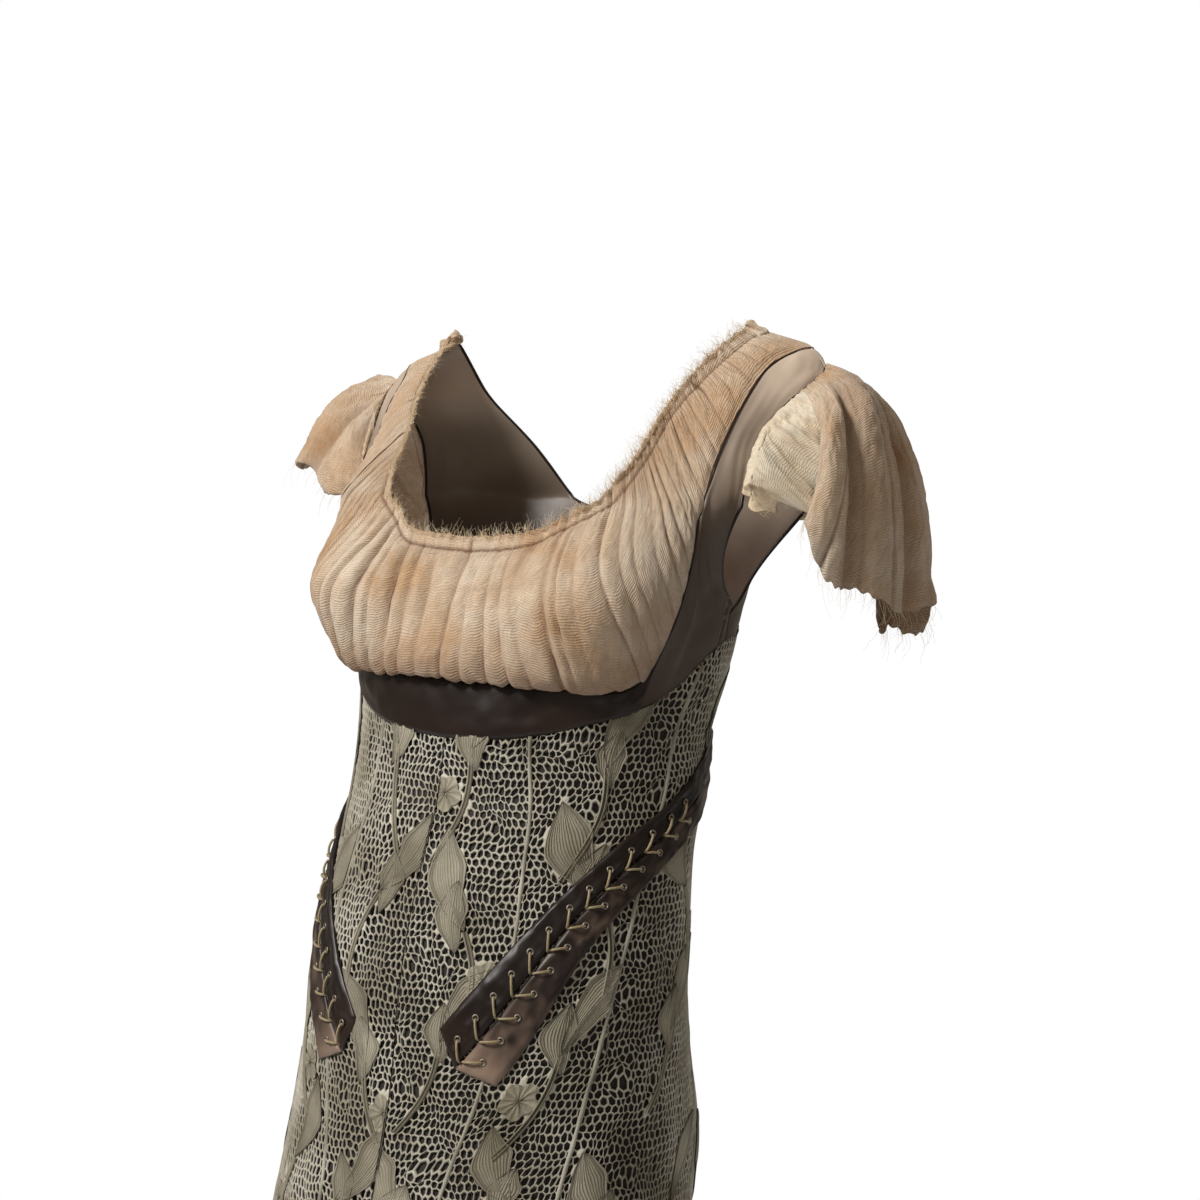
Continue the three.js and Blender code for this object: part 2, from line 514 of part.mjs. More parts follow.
// the lining hangs a little inside the lace below the hips
const hangsFree = (s) => 5 * THREE.MathUtils.smoothstep(-s, 560, 760);
const liningFace = (from, to) => skirtFace([{ s: 0, t: from }, { s: -1000, t: from }],
  [{ s: 0, t: to }, { s: -1000, t: to }], LINING, HEM, hangsFree);
const liningRows = [...DROP.slice(0, -1), LINING_DROP];
const liningFront = cloth(steps(20), liningRows, liningFace(-1, 1));
const liningBack = cloth(steps(10), liningRows, liningFace(1, 2));

// ---------------------------------------------------------------- laced bands

// length along the band, with the place and the direction across it
function bandPath() {
  const table = LACED_BAND.map((row, i) => ({ i, ...row }));
  const samples = [];
  let length = 0, last = null;
  for (const i of steps(240, 0, LACED_BAND.length - 1)) {
    const t = smooth(table, 'i', 't', i), s = smooth(table, 'i', 's', i);
    const p = skin(t, s, STRIP.outer);
    if (last) length += p.distanceTo(last);
    last = p;
    samples.push({ length, t, s });
  }
  return samples;
}
const BAND_PATH = bandPath();
const BAND_LENGTH = BAND_PATH[BAND_PATH.length - 1].length;

// a place `along` the band and `off` mm above its centre line
function onBand(along, off, out) {
  const t = smooth(BAND_PATH, 'length', 't', along), s = smooth(BAND_PATH, 'length', 's', along);
  const e = 2;
  const t1 = smooth(BAND_PATH, 'length', 't', Math.min(along + e, BAND_LENGTH));
  const s1 = smooth(BAND_PATH, 'length', 's', Math.min(along + e, BAND_LENGTH));
  const t0 = smooth(BAND_PATH, 'length', 't', Math.max(along - e, 0));
  const s0 = smooth(BAND_PATH, 'length', 's', Math.max(along - e, 0));
  const perTurn = form(t + 0.01, s).distanceTo(form(t - 0.01, s)) / 0.02;
  const run = new THREE.Vector2((t1 - t0) * perTurn, s1 - s0).normalize();
  return { t: t - run.y * off / perTurn, s: s + run.x * off, out };
}
const place = ({ t, s, out }) => skin(t, s, out);

// The strip's foot end is cut on the slant, so both strips meet in a point.
function stripFace(off0, off1, tip0, tip1) {
  return (u, v, side) => {
    const off = off0 + (off1 - off0) * v;
    const start = tip0 + (tip1 - tip0) * v;
    const spot = onBand(start + (BAND_LENGTH - start) * u, off, side ? STRIP.outer : STRIP.inner);
    return place(spot);
  };
}
const eyeletSpots = steps(EYELET.count - 1).map((f) => EYELET.first + f * (EYELET.count - 1) * EYELET.pitch);
function eyeletStrip(off0, off1, tip0, tip1, row) {
  let body = toManifold(cloth(steps(22), steps(2), stripFace(off0, off1, tip0, tip1)));
  for (const along of eyeletSpots) {
    const { t, s } = onBand(along, row, 0);
    body = body.add(toManifold(stud(t, s, EYELET.radius, STRIP.outer - 0.9, EYELET.top)))
      .subtract(toManifold(stud(t, s, EYELET.bore, STRIP.outer + 0.05, EYELET.top + 1)));
  }
  return fromManifold(body);
}
const { upper, lower, gap, tipUpper, tipLower } = BAND_STRIP;
const stripUpper = eyeletStrip(gap, upper, 0, tipUpper, EYELET.row);
const stripLower = eyeletStrip(-gap, -lower, 0, tipLower, -EYELET.row);

// The cord crosses from eyelet to eyelet, up the band, and turns round at each
// in an arc.
const cordPath = [];
for (let k = 0; k < 2 * EYELET.count - 1; k++) {
  const along = EYELET.first + k * EYELET.pitch / 2, up = k % 2 ? 1 : -1;
  for (const turn of [-66, -22, 22, 66]) {
    const a = THREE.MathUtils.degToRad(turn);
    cordPath.push(place(onBand(along + CORD.bend * Math.sin(a),
      up * (EYELET.row - CORD.bend + CORD.bend * Math.cos(a)), CORD.height)));
  }
  if (k < 2 * EYELET.count - 2) cordPath.push(place(onBand(along + EYELET.pitch / 4, 0, CORD.height)));
}
const cord = tube(cordPath, CORD.radius, 6);

// ---------------------------------------------------------------- zip at the centre back

const ZIP_TOP = -121;
const zipStrip = cloth(steps(2, -1, 1), steps(11, ZIP.end + 1, ZIP_TOP), (u, v, side) =>
  skin(2 + u * ZIP.halfWidth, v, side ? PANEL.outer - 0.3 : PANEL.inner - 0.2));

const SLIDER = { z: -128, width: 8, height: 11, thick: 2.2, lug: 1.4, lugGap: 3.4, pinOut: 2.6, pin: 0.7 };
const PULL = { width: 2.6, eye: 1.1, thick: 1.2, length: 24, grip: 6 };
const box = (w, d, h, x, y, z) => toManifold(new THREE.BoxGeometry(w, d, h).translate(x, y, z));
const pinAlongX = (radius, length, sides, x, y, z) =>
  toManifold(new THREE.CylinderGeometry(radius, radius, length, sides).rotateZ(Math.PI / 2).translate(x, y, z));

// slider: plate, two lugs and the pin between them, facing +Y
const backY = skin(2, SLIDER.z + SLIDER.height / 2, PANEL.outer).y + 0.5;
const pinY = backY + SLIDER.thick + SLIDER.pinOut;
const slider = box(SLIDER.width, SLIDER.thick, SLIDER.height, 0, backY + SLIDER.thick / 2, SLIDER.z)
  .add(box(SLIDER.lug, SLIDER.pinOut + 1.6, 3.4, (SLIDER.lugGap + SLIDER.lug) / 2, backY + SLIDER.thick + SLIDER.pinOut / 2 + 0.3, SLIDER.z))
  .add(box(SLIDER.lug, SLIDER.pinOut + 1.6, 3.4, -(SLIDER.lugGap + SLIDER.lug) / 2, backY + SLIDER.thick + SLIDER.pinOut / 2 + 0.3, SLIDER.z))
  .add(pinAlongX(SLIDER.pin, SLIDER.lugGap + SLIDER.lug, 10, 0, pinY, SLIDER.z));

// pull tab: an eye round the pin, a neck and a wider grip, hanging straight down
const pull = pinAlongX(PULL.eye + 0.75, PULL.width, 16, 0, pinY, SLIDER.z)
  .add(box(PULL.width, PULL.thick, PULL.length - 8, 0, pinY, SLIDER.z - PULL.length / 2 + 3))
  .add(box(PULL.grip, PULL.thick, 11, 0, pinY, SLIDER.z - PULL.length + 2))
  .subtract(pinAlongX(PULL.eye, PULL.width + 2, 12, 0, pinY, SLIDER.z));

// ---------------------------------------------------------------- the dress

const fabric = (color, roughness = 0.9) => new THREE.MeshStandardMaterial({ color, roughness, metalness: 0, flatShading: true });
const gauze = fabric(0xc9a77c), satin = fabric(0x6f6157, 0.45), darkSatin = fabric(0x3a2a22, 0.4);
const mauveSatin = fabric(0x77594f, 0.45), lace = fabric(0xa59d7c), underlayer = fabric(0x1a1511);
const cordThread = fabric(0xb39b6c, 0.7);
const metal = new THREE.MeshStandardMaterial({ color: 0xa9a194, roughness: 0.35, metalness: 1 });

const dress = new THREE.Group();
function piece(name, geometry, material) {
  const mesh = new THREE.Mesh(geometry, material);
  mesh.name = name;
  dress.add(mesh);
  return mesh;
}
function pair(name, geometry, material) {
  piece(`${name}_left`, geometry, material);
  piece(`${name}_right`, mirrored(geometry), material);
}

piece('gauze_bust', bust, gauze);
pair('gauze_strap', strap, gauze);
for (const [side, x] of [['left', 1], ['right', -1]]) {
  const mesh = piece(`shoulder_roll_${side}`, roll, gauze);
  mesh.position.copy(skin(0.445, -4, PANEL.outer + 5.6)).multiply(new THREE.Vector3(x, 1, 1));
  mesh.rotation.set(0, x * 0.3, x * 0.5);
}
piece('sleeve_left', sleeveLeft, gauze);
piece('sleeve_right', sleeveRight, gauze);
piece('sleeve_frill_left', frillLeft, gauze);
piece('sleeve_frill_right', frillRight, gauze);
pair('satin_side_front', sideFront, satin);
pair('satin_back', satinBack, satin);
piece('underbust_band', underbust, darkSatin);
pair('lace_centre_front', laceCentre, lace);
pair('lace_front', laceFront, lace);
pair('lace_side', laceSide, lace);
pair('lace_back', laceBack, lace);
piece('lining_front', liningFront, underlayer);
pair('lining_back', liningBack, underlayer);
pair('laced_strip_upper', stripUpper, darkSatin);
pair('laced_strip_lower', stripLower, mauveSatin);
pair('lacing_cord', cord, cordThread);
piece('zip_strip', zipStrip, underlayer);
piece('zip_slider', fromManifold(slider), metal);
piece('zip_pull', fromManifold(pull), metal);

export default dress;
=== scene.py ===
import json
import math

import bpy
import numpy as np
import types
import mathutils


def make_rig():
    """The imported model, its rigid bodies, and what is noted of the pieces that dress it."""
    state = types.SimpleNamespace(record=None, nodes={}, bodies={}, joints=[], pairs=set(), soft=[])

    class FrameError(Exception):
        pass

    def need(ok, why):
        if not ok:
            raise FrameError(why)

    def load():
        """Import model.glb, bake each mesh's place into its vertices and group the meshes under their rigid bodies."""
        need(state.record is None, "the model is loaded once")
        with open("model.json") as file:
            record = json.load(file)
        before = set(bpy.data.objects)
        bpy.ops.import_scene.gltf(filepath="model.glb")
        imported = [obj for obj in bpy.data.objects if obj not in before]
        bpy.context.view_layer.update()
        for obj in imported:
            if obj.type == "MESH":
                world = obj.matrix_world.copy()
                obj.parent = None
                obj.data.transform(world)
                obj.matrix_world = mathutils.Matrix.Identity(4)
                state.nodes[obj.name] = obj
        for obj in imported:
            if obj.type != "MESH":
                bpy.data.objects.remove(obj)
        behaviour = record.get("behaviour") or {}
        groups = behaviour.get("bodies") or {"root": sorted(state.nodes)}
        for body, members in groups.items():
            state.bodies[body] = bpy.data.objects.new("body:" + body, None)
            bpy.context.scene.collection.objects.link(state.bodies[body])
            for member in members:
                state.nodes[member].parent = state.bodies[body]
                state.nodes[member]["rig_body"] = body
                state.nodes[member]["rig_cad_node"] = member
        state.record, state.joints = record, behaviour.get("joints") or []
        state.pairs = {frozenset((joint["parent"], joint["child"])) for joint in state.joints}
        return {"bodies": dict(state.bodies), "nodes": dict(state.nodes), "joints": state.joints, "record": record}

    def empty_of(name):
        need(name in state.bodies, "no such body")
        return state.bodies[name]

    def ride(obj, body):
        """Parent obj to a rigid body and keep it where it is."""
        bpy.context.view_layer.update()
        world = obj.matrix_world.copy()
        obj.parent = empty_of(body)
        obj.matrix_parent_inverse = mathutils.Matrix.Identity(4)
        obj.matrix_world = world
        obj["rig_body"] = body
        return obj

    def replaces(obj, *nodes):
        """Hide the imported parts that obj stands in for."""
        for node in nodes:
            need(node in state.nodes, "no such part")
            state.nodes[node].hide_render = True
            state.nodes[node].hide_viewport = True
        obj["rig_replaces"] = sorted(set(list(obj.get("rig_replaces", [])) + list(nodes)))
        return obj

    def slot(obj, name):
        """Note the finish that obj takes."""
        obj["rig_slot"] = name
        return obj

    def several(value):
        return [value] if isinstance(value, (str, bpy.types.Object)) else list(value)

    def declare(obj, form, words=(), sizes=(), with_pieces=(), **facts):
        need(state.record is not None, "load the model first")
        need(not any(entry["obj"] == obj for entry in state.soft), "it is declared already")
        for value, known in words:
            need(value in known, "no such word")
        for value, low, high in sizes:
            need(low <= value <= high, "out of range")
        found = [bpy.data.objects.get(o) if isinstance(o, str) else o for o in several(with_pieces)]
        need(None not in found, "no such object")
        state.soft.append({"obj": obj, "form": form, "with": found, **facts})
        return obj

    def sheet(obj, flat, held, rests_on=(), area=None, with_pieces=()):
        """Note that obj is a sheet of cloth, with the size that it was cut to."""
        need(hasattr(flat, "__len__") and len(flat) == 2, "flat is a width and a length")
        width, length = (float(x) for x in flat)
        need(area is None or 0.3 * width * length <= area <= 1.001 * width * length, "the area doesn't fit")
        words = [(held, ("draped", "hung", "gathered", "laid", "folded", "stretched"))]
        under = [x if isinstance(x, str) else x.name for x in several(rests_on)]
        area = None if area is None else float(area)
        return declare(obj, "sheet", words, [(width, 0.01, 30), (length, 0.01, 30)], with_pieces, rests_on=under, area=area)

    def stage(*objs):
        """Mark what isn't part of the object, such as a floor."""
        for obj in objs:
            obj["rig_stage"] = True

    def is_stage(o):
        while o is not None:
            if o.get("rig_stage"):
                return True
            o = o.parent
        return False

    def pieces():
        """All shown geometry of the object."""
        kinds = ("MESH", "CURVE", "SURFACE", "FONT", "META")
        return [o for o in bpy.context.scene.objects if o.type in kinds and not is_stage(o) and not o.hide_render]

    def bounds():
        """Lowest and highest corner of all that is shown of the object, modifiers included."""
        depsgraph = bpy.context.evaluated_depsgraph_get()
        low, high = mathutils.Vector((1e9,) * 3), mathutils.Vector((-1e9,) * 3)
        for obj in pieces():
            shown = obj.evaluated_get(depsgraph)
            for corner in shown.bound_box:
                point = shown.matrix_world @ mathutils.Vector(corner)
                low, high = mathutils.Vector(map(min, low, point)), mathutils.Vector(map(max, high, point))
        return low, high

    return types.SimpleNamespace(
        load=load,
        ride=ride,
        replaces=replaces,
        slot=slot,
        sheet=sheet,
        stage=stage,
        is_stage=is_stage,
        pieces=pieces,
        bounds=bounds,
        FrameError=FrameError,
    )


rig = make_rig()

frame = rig.load()
cad_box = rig.bounds()

# ---------------------------------------------------------------- studio
# A pale round floor under the hanging dress, one large soft key light from the
# front, a weaker fill from the other side and a bright surround.


def colour(hex_code):
    """sRGB hex to the linear colour that shaders take."""
    channels = [int(hex_code[i:i + 2], 16) / 255 for i in (1, 3, 5)]
    return [c / 12.92 if c <= 0.04045 else ((c + 0.055) / 1.055) ** 2.4 for c in channels] + [1.0]


def node(tree, kind, links=(), inputs=(), **settings):
    """Add a node with its settings, the values of its inputs and the links to it."""
    made = tree.nodes.new(kind)
    for key, value in settings.items():
        setattr(made, key, value)
    for key, value in dict(inputs).items():
        made.inputs[key].default_value = value
    for socket, source in links:
        tree.links.new(source, made.inputs[socket])
    return made


def material(name, finish):
    """A new material, its node tree and its shader, with a finish for the shader's inputs."""
    made = bpy.data.materials.new(name)
    made.use_nodes = True
    shader = made.node_tree.nodes["Principled BSDF"]
    for key, value in finish.items():
        shader.inputs[key].default_value = value
    return made, made.node_tree, shader


def over_object(tree):
    return node(tree, "ShaderNodeTexCoord").outputs["Object"]


def over_cloth(tree):
    return node(tree, "ShaderNodeUVMap", uv_map="cloth").outputs["UV"]


def shade_of(tree):
    """The shade, 0 to 1, that a piece carries at each point."""
    return node(tree, "ShaderNodeAttribute", attribute_name="shade").outputs["Fac"]


def texture(tree, kind, source, inputs, **settings):
    """A Noise or Wave texture, read at a source of places."""
    return node(tree, "ShaderNodeTex" + kind, [("Vector", source)], inputs, **settings)


def between(tree, pattern, low, high, least=0.0, most=1.0):
    """A texture's value from low to high, spread from least to most."""
    inputs = {"From Min": low, "From Max": high, "To Min": least, "To Max": most}
    return node(tree, "ShaderNodeMapRange", [("Value", pattern.outputs["Fac"])], inputs).outputs["Result"]


def mix(tree, a, b, share, blend="MIX"):
    """The colour a mixed with b; each of a, b and the share is a value or another node's output."""
    made = node(tree, "ShaderNodeMix", data_type="RGBA", blend_type=blend)
    for key, value in (("A", a), ("B", b), ("Factor", share)):
        if isinstance(value, bpy.types.NodeSocket):
            tree.links.new(value, made.inputs[key])
        else:
            made.inputs[key].default_value = value
    return made.outputs["Result"]


def relief(tree, pattern, strength, distance, over=None):
    """A texture raised from the surface, or over another relief if one is given."""
    links = [("Height", pattern.outputs["Fac"])] + ([] if over is None else [("Normal", over)])
    return node(tree, "ShaderNodeBump", links, {"Strength": strength, "Distance": distance}).outputs["Normal"]


def let_light_through(tree, shader, tone, share, normal=None):
    """Mix light from behind the cloth into its shader."""
    links = [("Color", tone)] + ([] if normal is None else [("Normal", normal)])
    glow = node(tree, "ShaderNodeBsdfTranslucent", links)
    both = node(tree, "ShaderNodeMixShader", [(1, shader.outputs[0]), (2, glow.outputs[0])], {0: share})
    tree.links.new(both.outputs[0], tree.nodes["Material Output"].inputs["Surface"])


def two_tone(name, dark, light, finish, inputs, kind="Noise", **settings):
    """A material of two colours mixed by a fine texture over the object, with what it is made of."""
    made, tree, shader = material(name, finish)
    pattern = texture(tree, kind, over_object(tree), inputs, **settings)
    tone = mix(tree, colour(dark), colour(light), pattern.outputs["Fac"])
    tree.links.new(tone, shader.inputs["Base Color"])
    return made, tree, shader, pattern, tone


LOOK_AT_HEIGHT, AZIMUTH, ELEVATION, DISTANCE = -0.182, math.radians(35), math.radians(3.2), 2.2
camera = bpy.data.objects.new("camera", bpy.data.cameras.new("camera"))
bpy.context.collection.objects.link(camera)
reach = DISTANCE * math.cos(ELEVATION)
camera.location = (reach * math.sin(AZIMUTH), -reach * math.cos(AZIMUTH),
                   LOOK_AT_HEIGHT + DISTANCE * math.sin(ELEVATION))
camera.rotation_euler = (math.pi / 2 - ELEVATION, 0, AZIMUTH)
camera.data.lens = 92.4
camera.data.sensor_width = 36
camera.data.shift_x = -0.0017
bpy.context.scene.camera = camera

bpy.ops.mesh.primitive_circle_add(vertices=96, radius=2.6, fill_type="NGON", location=(0, 0, -1.30))
floor = bpy.context.object
floor.name = "floor"
floor_paint, _, _ = material("pale studio floor", {"Base Color": colour("#e2e7ee"), "Roughness": 0.9})
floor.data.materials.append(floor_paint)
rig.stage(floor)

world = bpy.data.worlds.new("surround")
bpy.context.scene.world = world
world.use_nodes = True
sky = world.node_tree
sky.nodes.clear()
# white to the camera, but a dim warm light on the dress
seen = node(sky, "ShaderNodeBackground", inputs={"Color": (1, 1, 1, 1), "Strength": 1.0})
lighting = node(sky, "ShaderNodeBackground", inputs={"Color": (1.0, 0.88, 0.73, 1), "Strength": 0.22})
ray = node(sky, "ShaderNodeLightPath").outputs["Is Camera Ray"]
both = node(sky, "ShaderNodeMixShader", [(0, ray), (1, lighting.outputs[0]), (2, seen.outputs[0])])
node(sky, "ShaderNodeOutputWorld", [("Surface", both.outputs[0])])
bpy.context.scene.view_settings.view_transform = "Standard"


def softbox(name, place, aim, size, power, tint):
    """A round area light at a place, turned to its aim."""
    lamp = bpy.data.objects.new(name, bpy.data.lights.new(name, "AREA"))
    bpy.context.collection.objects.link(lamp)
    lamp.location = place
    x, y, z = np.array(place) - np.array(aim)
    lamp.rotation_euler = (math.atan2(math.hypot(x, y), z), 0, math.atan2(x, -y))
    lamp.data.shape = "DISK"
    lamp.data.size = size
    lamp.data.energy = power
    lamp.data.color = tint


softbox("key light", (-0.85, -2.05, 1.75), (0, -0.1, -0.35), 0.9, 92, (1.0, 0.98, 0.96))
softbox("fill light", (1.6, -2.2, 0.6), (0, 0, -0.4), 1.6, 3, (1.0, 0.96, 0.92))
softbox("back light", (0.9, 2.2, 1.4), (0, 0, -0.3), 1.4, 15, (1.0, 0.98, 0.95))

# ---------------------------------------------------------------- lining
# A plain near-black slip under the lace, cut in one front and two backs. It
# shows only as darkness through the holes and a narrow edge inside the hem.
# Every cloth piece of the dress is laid over the same form that wears it, given here.

# The tables are in thousandths: lengths in millimetres, places in thousandths of a quarter turn.

SECTIONS = np.array([
    # height, half width, depth in front, depth behind, line of greatest width, squareness
    [-110, 183, 90, 96, -46, 2500], [-160, 148, 98, 98, -61, 2200], [-216, 137, 102, 98, -69, 2000],
    [-263, 128, 99, 93, -81, 2000], [-309, 128, 99, 93, -90, 2000], [-344, 129, 100, 94, -103, 2000],
    [-385, 133, 104, 98, -115, 2000], [-434, 136, 106, 100, -125, 2000], [-478, 137, 106, 100, -131, 2000],
    [-522, 140, 107, 101, -139, 2000], [-593, 144, 111, 105, -157, 2000],
    [-720, 163, 124, 120, -165, 2000], [-960, 192, 150, 148, -163, 2000],
]) / 1000
CHEST, HEM = -0.110, -0.960
# two swells of the form: place, height and rise, then how far they reach round, up and down
BUST = (0.47, -0.170, 0.030, 0.30, 0.050, 0.040)
SEAT = (1.62, -0.560, 0.030, 0.27, 0.095, 0.150)
FLUTES, FLUTES_FROM, FLUTE_DEPTH = 8, -0.610, 0.009
SHOULDER_TOP, SHOULDER_SLOPE = 0.150, 0.32      # half width where the shoulder is at height 0, its fall
SHOULDER_BEND, SHOULDER_ROUND = 0.165, 34       # half width where it rounds over, how fast
SHOULDER_LINE = -0.004                          # where the shoulder line lies from front to back
TURN_STEP, HEIGHT_STEP = 0.004, 0.0006          # steps to either side for the form's slope


def smooth(keys, values, at):
    """Values along a smooth curve through a table's rows; keys may rise or fall."""
    keys, values = np.asarray(keys, float), np.asarray(values, float)
    if keys[0] > keys[-1]:
        keys, values = keys[::-1], values[::-1]
    at = np.clip(at, keys[0], keys[-1])
    slope = np.empty_like(values)
    slope[1:-1] = (values[2:] - values[:-2]) / (keys[2:] - keys[:-2])
    slope[0] = (values[1] - values[0]) / (keys[1] - keys[0])
    slope[-1] = (values[-1] - values[-2]) / (keys[-1] - keys[-2])
    i = np.clip(np.searchsorted(keys, at, side="right") - 1, 0, len(keys) - 2)
    span = keys[i + 1] - keys[i]
    f = (at - keys[i]) / span
    return ((2 * f**3 - 3 * f**2 + 1) * values[i] + (f**3 - 2 * f**2 + f) * slope[i] * span
            + (3 * f**2 - 2 * f**3) * values[i + 1] + (f**3 - f**2) * slope[i + 1] * span)


def column(table, k, at):
    """Column k of a table at values of its first column."""
    return smooth(table[:, 0], table[:, k], at)


def by_row(table, at):
    """Every column of a table at a row number, whole or between two."""
    table = np.asarray(table)
    return [smooth(np.arange(len(table)), values, at) for values in table.T]


def step(at, low, high):
    """A smooth step from 0 at low to 1 at high."""
    f = np.clip((at - low) / (high - low), 0, 1)
    return f * f * (3 - 2 * f)


def form(t, s):
    """Points of the form that wears the dress: t counts quarter turns from the centre front, s is the height."""
    t, s = np.broadcast_arrays(np.asarray(t, float), np.asarray(s, float))
    z = np.minimum(s, CHEST)
    width, front, back, line, square = (column(SECTIONS, k, z) for k in range(1, 6))
    angle = t * np.pi / 2
    sin, cos = np.sin(angle), np.cos(angle)
    depth = np.where(cos > 0, front, back)
    x = width * np.sign(sin) * np.abs(sin) ** (2 / square)
    y = line - depth * np.sign(cos) * np.abs(cos) ** (2 / square)
    nx, ny = sin / width, -cos / depth
    length = np.hypot(nx, ny)
    turn = np.where(np.abs(t) > 2, 4 - np.abs(t), np.abs(t))

    def swell(at, height, rise, wide, above, below):
        reach = np.where(s > height, above, below)
        return rise * np.exp(-((turn - at) / wide) ** 2 - ((s - height) / reach) ** 2)

    flute = np.clip((FLUTES_FROM - s) / (FLUTES_FROM - HEM), 0, None) ** 1.3
    rise = np.where(cos > 0, swell(*BUST), swell(*SEAT)) + FLUTE_DEPTH * flute * np.cos(FLUTES * angle)
    x = x + nx / length * rise
    y = y + ny / length * rise
    # above the chest the form closes in to the shoulder line
    q = np.clip((s - CHEST) / -CHEST, 0, 1)
    top = (-SHOULDER_SLOPE * (np.abs(x) - SHOULDER_TOP)
           - SHOULDER_ROUND * np.clip(np.abs(x) - SHOULDER_BEND, 0, None) ** 2)
    z = np.where(s > CHEST, CHEST + (top - CHEST) * (1 - (1 - q) ** 1.25), s)
    y = np.where(s > CHEST, SHOULDER_LINE + (y - SHOULDER_LINE) * (1 - q ** 1.15), y)
    return np.stack([x, y, z], -1)


def unit(v):
    return v / (np.linalg.norm(v, axis=-1, keepdims=True) + 1e-12)


def outward(t, s):
    """The way out of the form, square to it."""
    s = np.minimum(s, -HEIGHT_STEP)
    across = form(t + TURN_STEP, s) - form(t - TURN_STEP, s)
    upward = form(t, s + HEIGHT_STEP) - form(t, s - HEIGHT_STEP)
    return unit(np.cross(across, upward))


def skin(t, s, out):
    """Points at a height `out` above the form, and straight up where front and back meet on the shoulder."""
    way = outward(t, s)
    on_shoulder = np.asarray(step(np.asarray(s, float), -0.012, -0.001))[..., None]
    way = way + ((0, 0, 1) - way) * on_shoulder
    return form(t, s) + way * np.asarray(out, float)[..., None]


def settled(points):
    """Points as the dress sits on its wearer: the shoulders lean to the wearer's left and the right side rides up
    round the ribs.
    """
    x, z = points[..., 0], points[..., 2]
    right = step(-x, 0.035, 0.090) * step(z, -0.175, -0.115) * (1 - 0.85 * step(z, -0.075, -0.020))
    left = step(x, 0.125, 0.180) * step(z, -0.075, -0.020)
    lift = 0.075 * np.clip(-x, 0, None) * np.exp(-((z + 0.250) / 0.090) ** 2)
    drop = 0.0075 * step(-x, 0.035, 0.100) * step(z, -0.090, -0.015)
    return points + np.stack([0.0105 * right + 0.0065 * left, 0.0050 * right, lift - drop], -1)


def mesh_piece(name, points, faces, uv=None, shade=None):
    """A piece from points and arrays of faces, with a uv in metres and a shade of 0 to 1 for each point."""
    loops = np.concatenate([f.reshape(-1) for f in faces])
    sizes = np.concatenate([np.full(len(f), f.shape[1]) for f in faces])
    mesh = bpy.data.meshes.new(name)
    mesh.vertices.add(len(points))
    mesh.vertices.foreach_set("co", settled(points).reshape(-1))
    mesh.loops.add(len(loops))
    mesh.loops.foreach_set("vertex_index", loops.astype(np.int32))
    mesh.polygons.add(len(sizes))
    mesh.polygons.foreach_set("loop_start", np.concatenate([[0], np.cumsum(sizes)[:-1]]).astype(np.int32))
    mesh.update(calc_edges=True)
    mesh.polygons.foreach_set("use_smooth", np.ones(len(sizes), bool))
    if uv is not None:
        layer = mesh.uv_layers.new(name="cloth")
        layer.data.foreach_set("uv", uv.reshape(-1, 2)[loops].reshape(-1).astype(np.float32))
    if shade is not None:
        attribute = mesh.attributes.new("shade", "FLOAT", "POINT")
        attribute.data.foreach_set("value", np.asarray(shade, np.float32).reshape(-1))
    piece = bpy.data.objects.new(name, mesh)
    bpy.context.collection.objects.link(piece)
    return piece


def grid(n, m, across=(0, 1), along=(0, 1)):
    """Even values across and along a cloth, each an n by m grid."""
    return np.meshgrid(np.linspace(*across, n), np.linspace(*along, m), indexing="ij")


def cells_of(rows, cols):
    """The faces of a grid of points."""
    index = np.arange(rows * cols).reshape(rows, cols)
    return np.stack([index[:-1, :-1], index[1:, :-1], index[1:, 1:], index[:-1, 1:]], -1).reshape(-1, 4)


def grid_piece(name, points, uv=None, shade=None, thick=0.0, flip=False):
    """A cloth piece from a grid of points, its uv laid flat from the grid unless given."""
    cells = cells_of(*points.shape[:2])
    uv = lengths(points) if uv is None else uv
    piece = mesh_piece(name, points.reshape(-1, 3), [cells[:, ::-1] if flip else cells], uv, shade)
    if thick:
        wall = piece.modifiers.new("cloth thickness", "SOLIDIFY")
        wall.thickness = thick
        wall.offset = -1
        bpy.context.view_layer.objects.active = piece
        bpy.ops.object.modifier_apply(modifier=wall.name)
    return piece


def lengths(points):
    """uv in metres: distance along the rows and along the columns of a grid."""
    uv = np.zeros((*points.shape[:2], 2))
    uv[1:, :, 0] = np.cumsum(np.linalg.norm(np.diff(points, axis=0), axis=-1), axis=0)
    uv[:, 1:, 1] = np.cumsum(np.linalg.norm(np.diff(points, axis=1), axis=-1), axis=1)
    return uv


def doubled_areas(a, b, c, d):
    """Twice the areas of cells with corners a, b, c and d."""
    return np.linalg.norm(np.cross(b - a, c - a), axis=-1) + np.linalg.norm(np.cross(c - a, d - a), axis=-1)


def cut_of(points):
    """Width and length of the flat cut of a grid, with its area."""
    uv = lengths(points)
    wide, long = float(uv[-1, :, 0].max()), float(uv[:, -1, 1].max())
    area = float(doubled_areas(points[:-1, :-1], points[1:, :-1], points[1:, 1:], points[:-1, 1:]).sum() / 2)
    return dict(flat=(wide, long), area=min(area, 0.999 * wide * long))


def put_on(piece, cloth, slot, solid=None):
    """Give a piece its material, slot and body, in place of a solid if one is named."""
    piece.data.materials.append(cloth)
    if solid:
        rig.replaces(piece, solid)
    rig.slot(piece, slot)
    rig.ride(piece, "dress")
    return piece


